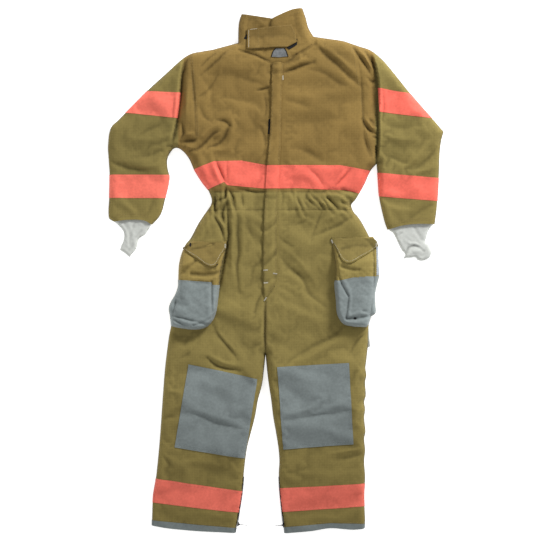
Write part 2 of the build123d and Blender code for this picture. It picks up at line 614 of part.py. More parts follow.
# ---- legs ---------------------------------------------------------------------------------------------------------------------
for side, g in LEG.items():
    half = LEG_DEPTH / 2
    thigh = g["thigh_outer"] + g["thigh_inner"]
    shin = g["shin_outer"] + g["shin_inner"]
    hip_end = middle(g["thigh_outer"][0], g["thigh_inner"][-1])
    knee_end = middle(g["thigh_outer"][-1], g["thigh_inner"][0])
    hem_end = middle(g["shin_outer"][-1], g["shin_inner"][0])
    leg_trim = wrapped_strip(shin, LEG_DEPTH, g["band"], TRIM, [knee_end, hem_end])
    hem_guard = wrapped_strip(shin, LEG_DEPTH, g["guard"], TRIM, [knee_end, hem_end])
    save(leg_trim, f"leg_trim_{side}")
    save(hem_guard, f"hem_guard_{side}")

    for name, outline, mouths, less in (
        ("thigh", thigh, [hip_end, knee_end], []),
        ("shin", shin, [knee_end, hem_end], [leg_trim, hem_guard]),
    ):
        save(fabric_shell(outline, 0, LEG_DEPTH, SHELL, mouths, less=less), f"{name}_{side}")
        liner_outline = inset(outline, LINER_INSET, edges_at(outline, mouths))
        liner = fabric_shell(liner_outline, LINER_INSET, LEG_DEPTH - LINER_INSET, LINER, mouths)
        save(liner, f"{name}_liner_{side}")

    # the knee patch is one piece of fabric, parted here at the knee's fold line
    for name, y_mid in (("upper", KNEE_Y + FOLD_GAP + 100), ("lower", KNEE_Y - FOLD_GAP - 100)):
        with BuildPart() as patch:
            with BuildSketch(Plane.XY.offset(LEG_DEPTH)):
                with BuildLine():
                    Polyline(*g["knee"], close=True)
                make_face()
                with Locations(((g["knee"][0][0] + g["knee"][2][0]) / 2, y_mid)):
                    Rectangle(400, 200, mode=Mode.INTERSECT)
            extrude(amount=PATCH)
        save(patch.part, f"knee_patch_{name}_{side}")

    # leg zip, on the shin's inner wall: x runs up the leg, z points out of the wall
    hem, knee_side = Vector(*g["shin_inner"][0]), Vector(*g["shin_inner"][1])
    up = (knee_side - hem).normalized()
    out = Vector(1, 0, 0) if side == "right" else Vector(-1, 0, 0)
    normal = (out - up * out.dot(up)).normalized()
    wall = Plane(origin=hem + Vector(0, 0, half) + up * LEG_ZIP_FOOT, x_dir=up, z_dir=normal)
    proud = TRIM + 0.1  # the hem guard passes under the zip's foot
    with BuildPart() as leg_zip_chain:
        with BuildSketch(wall.offset(proud)):
            with Locations((LEG_ZIP_LENGTH / 2, 0)):
                Rectangle(LEG_ZIP_LENGTH, 26)
        extrude(amount=ZIP_TAPE)
        with BuildSketch(wall.offset(proud + ZIP_TAPE)):
            with Locations((LEG_ZIP_LENGTH / 2, 0)):
                Rectangle(LEG_ZIP_LENGTH, TEETH)
            with Locations((1.5, 0), (LEG_ZIP_LENGTH - 1.5, 0)):
                Rectangle(3, 2 * TEETH)
        extrude(amount=1.6)
    save(leg_zip_chain.part, f"leg_zip_chain_{side}")

    # the slider is closed at the hem, and its pull turns on a pin between two ears
    saddle_low = proud + ZIP_TAPE + SLIDER_FIT
    saddle_x = 16.0
    pin_height = saddle_low + 5.4
    with BuildPart() as leg_zip_slider:
        with BuildSketch(wall.offset(saddle_low)):
            with Locations((saddle_x, 0)):
                Rectangle(13, SLIDER_WIDE)
        extrude(amount=3.0)
        with BuildSketch(wall.offset(saddle_low)):
            with Locations((saddle_x, 0)):
                Rectangle(13, TEETH + 2 * SLIDER_FIT)
        extrude(amount=1.6, mode=Mode.SUBTRACT)
        with BuildSketch(wall.offset(saddle_low + 3.0)):
            with Locations((saddle_x, 3.4), (saddle_x, -3.4)):
                Rectangle(4.4, 1.4)
        extrude(amount=4.0)
        with BuildSketch(Plane(origin=wall.from_local_coords(Vector(saddle_x, -3.4, pin_height)),
                               x_dir=wall.x_dir, z_dir=wall.y_dir)):  # fmt: skip
            Circle(PIN_RADIUS)
        extrude(amount=6.8)
    save(leg_zip_slider.part, f"leg_zip_slider_{side}")

    with BuildPart() as leg_zip_pull:
        with BuildSketch(Plane(origin=wall.from_local_coords(Vector(saddle_x, -2.2, pin_height)),
                               x_dir=wall.x_dir, z_dir=wall.y_dir)):  # fmt: skip
            Circle(1.9)
            with Locations((0, -PULL_LENGTH / 2)):
                Rectangle(1.4, PULL_LENGTH)
            Circle(PIN_RADIUS + PIN_FIT, mode=Mode.SUBTRACT)
        extrude(amount=4.4)
    save(leg_zip_pull.part, f"leg_zip_pull_{side}")
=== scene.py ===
"""How the turnout coverall looks: cloth shells with sewn-on trim, pockets, flaps, zips and stitching.

The shells are made from one flat outline, in millimetres, as a front and a back sheet that meet along
the sides. x runs to the wearer's left, y to the collar and z up out of the front.
"""

import json
import math
from functools import partial

import bpy
import numpy as np
from mathutils import Vector
from mathutils.bvhtree import BVHTree
from mathutils.geometry import delaunay_2d_cdt
from mathutils.kdtree import KDTree
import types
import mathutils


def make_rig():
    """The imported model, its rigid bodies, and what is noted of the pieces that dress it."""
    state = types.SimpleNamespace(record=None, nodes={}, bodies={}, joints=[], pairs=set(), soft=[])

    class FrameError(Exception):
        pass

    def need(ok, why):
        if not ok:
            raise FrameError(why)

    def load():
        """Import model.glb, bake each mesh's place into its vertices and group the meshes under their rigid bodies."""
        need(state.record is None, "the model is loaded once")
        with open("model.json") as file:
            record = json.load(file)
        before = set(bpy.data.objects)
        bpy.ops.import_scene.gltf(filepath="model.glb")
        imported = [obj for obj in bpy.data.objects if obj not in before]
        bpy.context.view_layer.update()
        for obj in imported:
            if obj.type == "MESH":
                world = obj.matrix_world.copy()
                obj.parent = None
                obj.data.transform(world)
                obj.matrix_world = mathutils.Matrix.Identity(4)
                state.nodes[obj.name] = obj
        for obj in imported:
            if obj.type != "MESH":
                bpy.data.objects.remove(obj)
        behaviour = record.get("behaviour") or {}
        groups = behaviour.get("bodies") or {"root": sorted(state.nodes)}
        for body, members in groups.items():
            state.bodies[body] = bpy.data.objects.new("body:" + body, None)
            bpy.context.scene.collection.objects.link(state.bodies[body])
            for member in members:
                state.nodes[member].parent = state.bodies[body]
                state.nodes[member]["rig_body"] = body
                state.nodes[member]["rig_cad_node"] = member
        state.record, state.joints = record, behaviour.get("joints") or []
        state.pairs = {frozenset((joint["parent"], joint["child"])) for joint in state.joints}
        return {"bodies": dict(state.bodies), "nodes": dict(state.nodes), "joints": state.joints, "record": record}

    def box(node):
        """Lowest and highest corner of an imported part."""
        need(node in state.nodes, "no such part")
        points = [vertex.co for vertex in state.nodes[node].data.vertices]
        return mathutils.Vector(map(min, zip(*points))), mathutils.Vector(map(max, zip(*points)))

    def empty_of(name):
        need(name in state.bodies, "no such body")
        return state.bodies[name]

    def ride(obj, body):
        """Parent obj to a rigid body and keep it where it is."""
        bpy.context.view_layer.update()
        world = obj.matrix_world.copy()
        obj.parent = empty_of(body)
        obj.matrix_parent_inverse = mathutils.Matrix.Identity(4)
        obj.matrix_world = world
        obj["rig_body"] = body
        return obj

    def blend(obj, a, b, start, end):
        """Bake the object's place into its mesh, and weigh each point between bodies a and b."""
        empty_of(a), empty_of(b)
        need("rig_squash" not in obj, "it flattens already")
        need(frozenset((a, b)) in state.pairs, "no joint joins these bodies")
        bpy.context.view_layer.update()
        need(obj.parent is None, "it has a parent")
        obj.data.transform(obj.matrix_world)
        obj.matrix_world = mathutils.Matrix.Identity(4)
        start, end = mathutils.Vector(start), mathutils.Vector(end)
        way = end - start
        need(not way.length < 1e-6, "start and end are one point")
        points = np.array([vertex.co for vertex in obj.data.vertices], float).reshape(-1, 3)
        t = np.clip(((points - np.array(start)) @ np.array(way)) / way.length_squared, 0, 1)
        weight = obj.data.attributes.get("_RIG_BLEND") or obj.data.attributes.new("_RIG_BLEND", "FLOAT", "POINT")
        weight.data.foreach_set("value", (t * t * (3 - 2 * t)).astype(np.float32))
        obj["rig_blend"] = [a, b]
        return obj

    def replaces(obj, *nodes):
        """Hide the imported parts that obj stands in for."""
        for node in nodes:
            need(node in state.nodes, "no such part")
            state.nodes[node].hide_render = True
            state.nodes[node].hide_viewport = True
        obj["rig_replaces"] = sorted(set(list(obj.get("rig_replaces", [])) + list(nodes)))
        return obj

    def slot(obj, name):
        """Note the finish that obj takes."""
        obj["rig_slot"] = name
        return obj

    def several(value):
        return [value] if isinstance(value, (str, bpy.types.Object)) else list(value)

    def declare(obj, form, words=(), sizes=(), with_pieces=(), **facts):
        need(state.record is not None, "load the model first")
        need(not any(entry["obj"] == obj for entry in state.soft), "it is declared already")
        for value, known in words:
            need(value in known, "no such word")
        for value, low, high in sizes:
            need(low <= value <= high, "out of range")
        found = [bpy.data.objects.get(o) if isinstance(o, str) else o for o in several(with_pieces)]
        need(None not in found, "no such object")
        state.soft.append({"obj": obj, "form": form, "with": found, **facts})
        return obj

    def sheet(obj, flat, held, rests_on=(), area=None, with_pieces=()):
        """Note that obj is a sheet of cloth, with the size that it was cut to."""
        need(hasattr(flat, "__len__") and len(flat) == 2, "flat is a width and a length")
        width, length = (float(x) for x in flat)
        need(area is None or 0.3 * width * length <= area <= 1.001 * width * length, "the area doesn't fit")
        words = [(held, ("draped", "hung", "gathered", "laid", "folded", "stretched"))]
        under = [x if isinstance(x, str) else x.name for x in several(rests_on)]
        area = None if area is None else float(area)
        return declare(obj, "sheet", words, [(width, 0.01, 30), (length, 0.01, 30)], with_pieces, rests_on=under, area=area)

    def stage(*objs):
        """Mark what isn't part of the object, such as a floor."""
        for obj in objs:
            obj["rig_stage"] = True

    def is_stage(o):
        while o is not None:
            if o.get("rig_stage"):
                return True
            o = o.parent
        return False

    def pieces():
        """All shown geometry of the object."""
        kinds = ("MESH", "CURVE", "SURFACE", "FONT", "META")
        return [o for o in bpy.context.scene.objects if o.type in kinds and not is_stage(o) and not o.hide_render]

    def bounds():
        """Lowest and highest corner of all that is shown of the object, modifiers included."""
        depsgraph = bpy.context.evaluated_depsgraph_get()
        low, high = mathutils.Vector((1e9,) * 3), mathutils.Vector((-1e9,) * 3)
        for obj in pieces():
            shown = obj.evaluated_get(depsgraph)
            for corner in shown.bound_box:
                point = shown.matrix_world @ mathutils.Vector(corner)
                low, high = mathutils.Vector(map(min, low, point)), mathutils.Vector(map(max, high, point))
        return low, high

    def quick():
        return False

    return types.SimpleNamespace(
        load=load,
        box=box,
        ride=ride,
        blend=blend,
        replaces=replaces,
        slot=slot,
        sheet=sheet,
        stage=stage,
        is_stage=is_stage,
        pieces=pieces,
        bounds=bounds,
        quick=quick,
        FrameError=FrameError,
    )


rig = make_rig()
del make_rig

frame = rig.load()
cad_low, cad_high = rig.bounds()
MM = 0.001

# ------------------------------------------------------------------------------------------------
# Outlines. A third number marks a corner.
# ------------------------------------------------------------------------------------------------
RIM = [
    ("mouth", [(-112, 818), (-60, 810), (-15, 803, 1), (15, 818), (50, 832), (82, 837)]),
    ("side", [
        (82, 837), (93, 805), (101, 775), (117, 747, 1), (165, 740), (211, 733), (230, 727, 1), (262, 716),
        (295, 705), (322, 686), (348, 660), (389, 610), (430, 559), (471, 512), (505, 474), (530, 445, 1),
        (522, 415), (517, 370), (516, 330), (512, 254), (508, 200), (502, 152),
    ]),
    ("mouth", [(502, 152), (450, 153), (400, 148), (352, 134)]),
    ("side", [
        (352, 134), (344, 155), (332, 203), (325, 240), (320, 310), (317, 343, 1), (297, 320), (278, 279),
        (262, 250), (249, 229), (236, 213), (245, 190), (259, 174), (273, 152), (290, 120), (303, 90),
        (306, 50), (306, 0), (304, -50), (299, -100), (294, -152), (291, -190), (290, -229), (285, -279),
        (282, -305), (285, -326), (281, -350), (283, -392), (278, -412), (281, -436), (278, -462), (282, -506),
        (278, -528), (281, -566), (278, -600), (281, -650), (278, -711), (281, -787), (279, -813),
    ]),
    ("mouth", [(279, -813), (240, -816), (170, -811), (110, -820), (25, -828)]),
    ("side", [
        (25, -828), (21, -790), (14, -737), (9, -686), (7, -640), (9, -600), (6, -559), (-2, -508),
        (-11, -457), (-17, -406), (-27, -340), (-35, -262, 1), (-40, -310), (-46, -356), (-59, -406),
        (-68, -457), (-81, -508), (-94, -559), (-103, -630), (-110, -711), (-119, -762), (-130, -827),
    ]),
    ("mouth", [(-130, -827), (-250, -820), (-340, -812), (-396, -803)]),
    ("side", [
        (-396, -803), (-392, -711), (-383, -655), (-373, -559), (-367, -483), (-360, -381), (-354, -305),
        (-348, -254), (-341, -203), (-332, -160), (-322, -120), (-310, -60), (-304, 0), (-300, 50),
        (-290, 85), (-272, 108), (-250, 150), (-231, 180), (-208, 212), (-205, 230), (-215, 256),
        (-235, 282), (-262, 325), (-277, 358), (-298, 384), (-318, 394), (-332, 386), (-346, 360),
        (-346, 330), (-340, 300), (-353, 235), (-368, 182), (-395, 150),
    ]),
    ("mouth", [(-395, 150), (-420, 164), (-470, 166), (-516, 160)]),
    ("side", [
        (-516, 160), (-532, 172), (-531, 240), (-530, 310), (-533, 360), (-535, 400), (-526, 457),
        (-500, 484), (-460, 525), (-405, 580), (-350, 630), (-300, 675), (-270, 693), (-235, 700),
        (-200, 706, 1), (-160, 717), (-122, 727, 1), (-120, 787), (-112, 818),
    ]),
]  # fmt: skip

CHEST_TRIM = [
    (-310, 308), (-262, 325), (-197, 350), (-110, 352), (-30, 337), (0, 338), (200, 338), (240, 331),
    (297, 320), (340, 310), (340, 230), (260, 250), (215, 260), (150, 262), (60, 265), (-30, 263),
    (-155, 275), (-165, 285), (-218, 261), (-310, 220),
]  # fmt: skip
BANDS = {
    "upper_sleeve_trim_right": [(-560, 579), (-303, 567), (-312, 487), (-560, 512)],
    "forearm_trim_right": [(-560, 308), (-322, 308), (-322, 234), (-560, 235)],
    "upper_sleeve_trim_left": [(320, 582), (560, 541), (560, 478), (325, 507)],
    "forearm_trim_left": [(305, 316), (560, 294), (560, 221), (305, 242)],
    "leg_trim_right": [(-420, -649), (-80, -699), (-80, -767), (-420, -727)],
    "leg_trim_left": [(-20, -687), (310, -668), (310, -740), (-20, -763)],
    "hem_guard_right": [(-420, -784), (-90, -815), (-90, -860), (-420, -860)],
    "hem_guard_left": [(-10, -811), (27, -808), (170, -795), (278, -798), (310, -799), (310, -860), (-10, -860)],
    "knee_patch_right": [(-277, -292), (-62, -338), (-103, -590), (-322, -555)],
    "knee_patch_left": [(3, -300), (228, -287), (242, -545), (22, -562)],
}
WAISTBAND = [(-260, 252), (300, 256), (300, 198), (-260, 196)]

# where the shell is parted for each joint, and the stretch of cloth that bends there
SHOULDER_BEND, ELBOW_BEND, HIP_BEND, KNEE_BEND = 20.0, (397, 357), (-240, -285), (-395, -455)
WAIST_SEAM = 224
ARMHOLE = {"right": ((-310, 542.5), (-0.9909, 0.1344)), "left": ((314, 540), (0.9992, 0.03997))}
COLLAR_CUT = [(-150, 727), (-122, 727), (-118, 704), (-106, 692), (102, 692), (110, 706), (117, 747), (150, 747)]


def armhole_line(side, y):
    """The point where the shell is parted at a shoulder, at the height y."""
    (px, py), (nx, ny) = ARMHOLE[side]
    px, py = px - SHOULDER_BEND * nx, py - SHOULDER_BEND * ny
    return (px - (y - py) * ny / nx, y)


CUTS = [
    [armhole_line("right", 740), armhole_line("right", 370)],
    [armhole_line("left", 760), armhole_line("left", 300)],
    [(-560, ELBOW_BEND[0]), (-312, ELBOW_BEND[0])],
    [(560, ELBOW_BEND[0]), (318, ELBOW_BEND[0]), (318, 330)],
    [(-400, HIP_BEND[0]), (330, HIP_BEND[0])],
    [(-35, HIP_BEND[0]), (-35, -264)],
    [(-400, KNEE_BEND[0]), (330, KNEE_BEND[0])],
    [(-300, WAIST_SEAM), (300, WAIST_SEAM)],
    COLLAR_CUT,
]


# ------------------------------------------------------------------------------------------------
# Plane geometry
# ------------------------------------------------------------------------------------------------
def curve(points, step):
    """Points about step mm apart along a smooth line through the given ones."""
    p = [np.array(q[:2], float) for q in points]
    out = []
    for i in range(len(p) - 1):
        a, b = p[i], p[i + 1]
        long = np.linalg.norm(b - a)
        ends = []
        for j in (i, i + 1):
            if 0 < j < len(p) - 1 and len(points[j]) == 2:
                d = p[j + 1] - p[j - 1]
                ends.append(d / np.linalg.norm(d) * long)
            else:
                ends.append(b - a)
        t = np.linspace(0, 1, max(1, round(long / step)), endpoint=False)[:, None]
        out.append(
            (2 * t**3 - 3 * t**2 + 1) * a + (t**3 - 2 * t**2 + t) * ends[0]
            + (3 * t**2 - 2 * t**3) * b + (t**3 - t**2) * ends[1]
        )  # fmt: skip
    return np.concatenate(out + [p[-1][None]])


def closed(points, step):
    """The points of a closed outline, each of them once."""
    return curve([*points, points[0]], step)[:-1]


def inside(points, polygon):
    """Which points lie in a polygon."""
    x, y = points[:, 0], points[:, 1]
    poly = np.asarray([q[:2] for q in polygon], float)
    hit = np.zeros(len(points), bool)
    for (ax, ay), (bx, by) in zip(poly, np.roll(poly, -1, 0)):
        if ay != by:
            hit ^= ((ay > y) != (by > y)) & (x < (bx - ax) * (y - ay) / (by - ay) + ax)
    return hit


def to_line(points, line):
    """For each point: its distance to a line of points, on which side it lies, and how far along it is."""
    line = np.asarray(line, float)
    best = np.full(len(points), 1e9)
    side, along = np.zeros(len(points)), np.zeros(len(points))
    run = 0.0
    for a, b in zip(line[:-1], line[1:]):
        d = b - a
        long = np.linalg.norm(d)
        t = np.clip((points - a) @ d / long**2, 0, 1)
        off = points - (a + t[:, None] * d)
        far = np.hypot(*off.T)
        near = far < best
        best[near] = far[near]
        side[near] = np.sign(d[0] * off[near, 1] - d[1] * off[near, 0])
        along[near] = run + t[near] * long
        run += long
    return best, side, along / run


def tree_of(places):
    """A search tree of places, by x and y only."""
    tree = KDTree(len(places))
    for i, q in enumerate(places):
        tree.insert((*q[:2], 0), i)
    tree.balance()
    return tree


def distances(points, places):
    """How far each point is from the nearest of some places."""
    tree = tree_of(places)
    return np.array([tree.find((*q, 0))[2] for q in points])


def turns(flat, tris):
    """Twice each triangle's area, with a minus sign where it runs clockwise."""
    a, b, c = (flat[tris[:, k]] for k in range(3))
    return np.cross(b - a, c - a)


def lattice(polygon, step, lines=(), clear=0.42):
    """A triangle mesh of a polygon: its points and triangles, with an edge along each line."""
    polygon = np.asarray(polygon, float)
    runs = [np.vstack([polygon, polygon[:1]])] + [curve([(*q, 1) for q in line], step) for line in lines]
    fixed = np.concatenate([r[:-1] if i == 0 else r for i, r in enumerate(runs)])
    edges, start = [(i, (i + 1) % len(polygon)) for i in range(len(polygon))], len(polygon)
    for r in runs[1:]:
        edges += [(start + i, start + i + 1) for i in range(len(r) - 1)]
        start += len(r)
    low, high = polygon.min(0), polygon.max(0)
    rows = np.arange(low[1], high[1], step * 0.866)
    grid = np.array([
        (x, y) for i, y in enumerate(rows) for x in np.arange(low[0] + (i % 2) * step / 2, high[0], step)
    ])  # fmt: skip
    grid = grid[inside(grid, polygon)]
    grid = grid[distances(grid, fixed) > clear * step]
    every = [Vector(q) for q in np.concatenate([fixed, grid])]
    v, _, f, *_ = delaunay_2d_cdt(every, edges, [], 0, 0.01)
    v = np.array([q[:] for q in v])
    f = np.array([t for t in f if len(t) == 3])
    f = f[inside(v[f].mean(1), polygon)]
    f = f[np.abs(turns(v, f)) > 1e-3]
    upside_down = turns(v, f) < 0
    f[upside_down] = f[upside_down][:, ::-1]
    used, f = np.unique(f, return_inverse=True)
    return v[used], f.reshape(-1, 3)


def rim_edges(tris):
    """The edges that only one triangle has, each in that triangle's direction."""
    edges = np.concatenate([tris[:, [0, 1]], tris[:, [1, 2]], tris[:, [2, 0]]])
    _, first, uses = np.unique(np.sort(edges, 1), axis=0, return_index=True, return_counts=True)
    return edges[first[uses == 1]]


def vertex_normals(points, tris):
    n = np.cross(points[tris[:, 1]] - points[tris[:, 0]], points[tris[:, 2]] - points[tris[:, 0]])
    out = np.zeros_like(points)
    for k in range(3):
        np.add.at(out, tris[:, k], n)
    return out / np.maximum(np.linalg.norm(out, axis=1, keepdims=True), 1e-9)


def crease_shade(points, tris, rounds=2):
    """Painted shade down in the cloth's creases, and a painted highlight along their tops."""
    pairs = np.unique(np.sort(np.concatenate([tris[:, [0, 1]], tris[:, [1, 2]], tris[:, [2, 0]]]), 1), axis=0)
    total, count = np.zeros(len(points)), np.full(len(points), 1e-9)
    for a, b in (pairs.T, pairs[:, ::-1].T):
        np.add.at(total, a, points[b, 2])
        np.add.at(count, a, 1)
    hollow = total / count - points[:, 2]
    hollow[np.unique(rim_edges(tris))] = 0
    for _ in range(rounds):
        total = np.zeros(len(points))
        for a, b in (pairs.T, pairs[:, ::-1].T):
            np.add.at(total, a, hollow[b])
        hollow = 0.5 * hollow + 0.5 * total / count
    return np.clip(np.where(hollow > 0, np.exp(-0.9 * hollow), 1 - 0.12 * np.maximum(hollow, -1.5)), 0.45, 1.15)


def bell(far, width):
    """A hump of height 1, and a third of that at the distance width."""
    return np.exp(-((far / width) ** 2))


def smoothstep(low, high, x):
    t = np.clip((x - low) / (high - low), 0, 1)
    return t * t * (3 - 2 * t)


def waves(points, length, seed):
    """A gentle random surface, about 1 high, with humps about length mm apart."""
    r = np.random.default_rng(seed)
    out = np.zeros(len(points))
    for _ in range(18):
        a, k = r.uniform(0, 2 * math.pi), 2 * math.pi / length * r.uniform(0.6, 1.5)
        out += np.cos(k * (points[:, 0] * math.cos(a) + points[:, 1] * math.sin(a)) + r.uniform(0, 2 * math.pi))
    return out / 3.0


# ------------------------------------------------------------------------------------------------
# Which part of the garment a point belongs to
# ------------------------------------------------------------------------------------------------
PARTS = [
    "bodice", "seat", "collar", "upper_sleeve_right", "upper_sleeve_left", "forearm_right", "forearm_left",
    "thigh_right", "thigh_left", "shin_right", "shin_left",
]  # fmt: skip


def outward(points, side):
    """How far each point lies outward of a shoulder's line."""
    (px, py), (nx, ny) = ARMHOLE[side]
    return (points[:, 0] - px) * nx + (points[:, 1] - py) * ny


def part_of(points):
    """The number, in PARTS, of the part that each point belongs to."""
    x, y = points[:, 0], points[:, 1]
    out = np.where(y > WAIST_SEAM, 0, 1)
    out[inside(points, COLLAR_CUT + [(150, 900), (-150, 900)])] = 2
    right = ((outward(points, "right") > -SHOULDER_BEND) & (y > 375)) | ((x < -322) & (y > 100))
    left = ((outward(points, "left") > -SHOULDER_BEND) & (y > 310)) | ((x > 310) & (y > 100))
    out[right], out[left] = 3, 4
    out[right & (y < ELBOW_BEND[0])] = 5
    out[left & (y < ELBOW_BEND[0]) & (x > 318)] = 6
    leg = y < HIP_BEND[0]
    out[leg] = np.where(x[leg] < -35, 7, 8)
    out[y < KNEE_BEND[0]] += 2
    return out
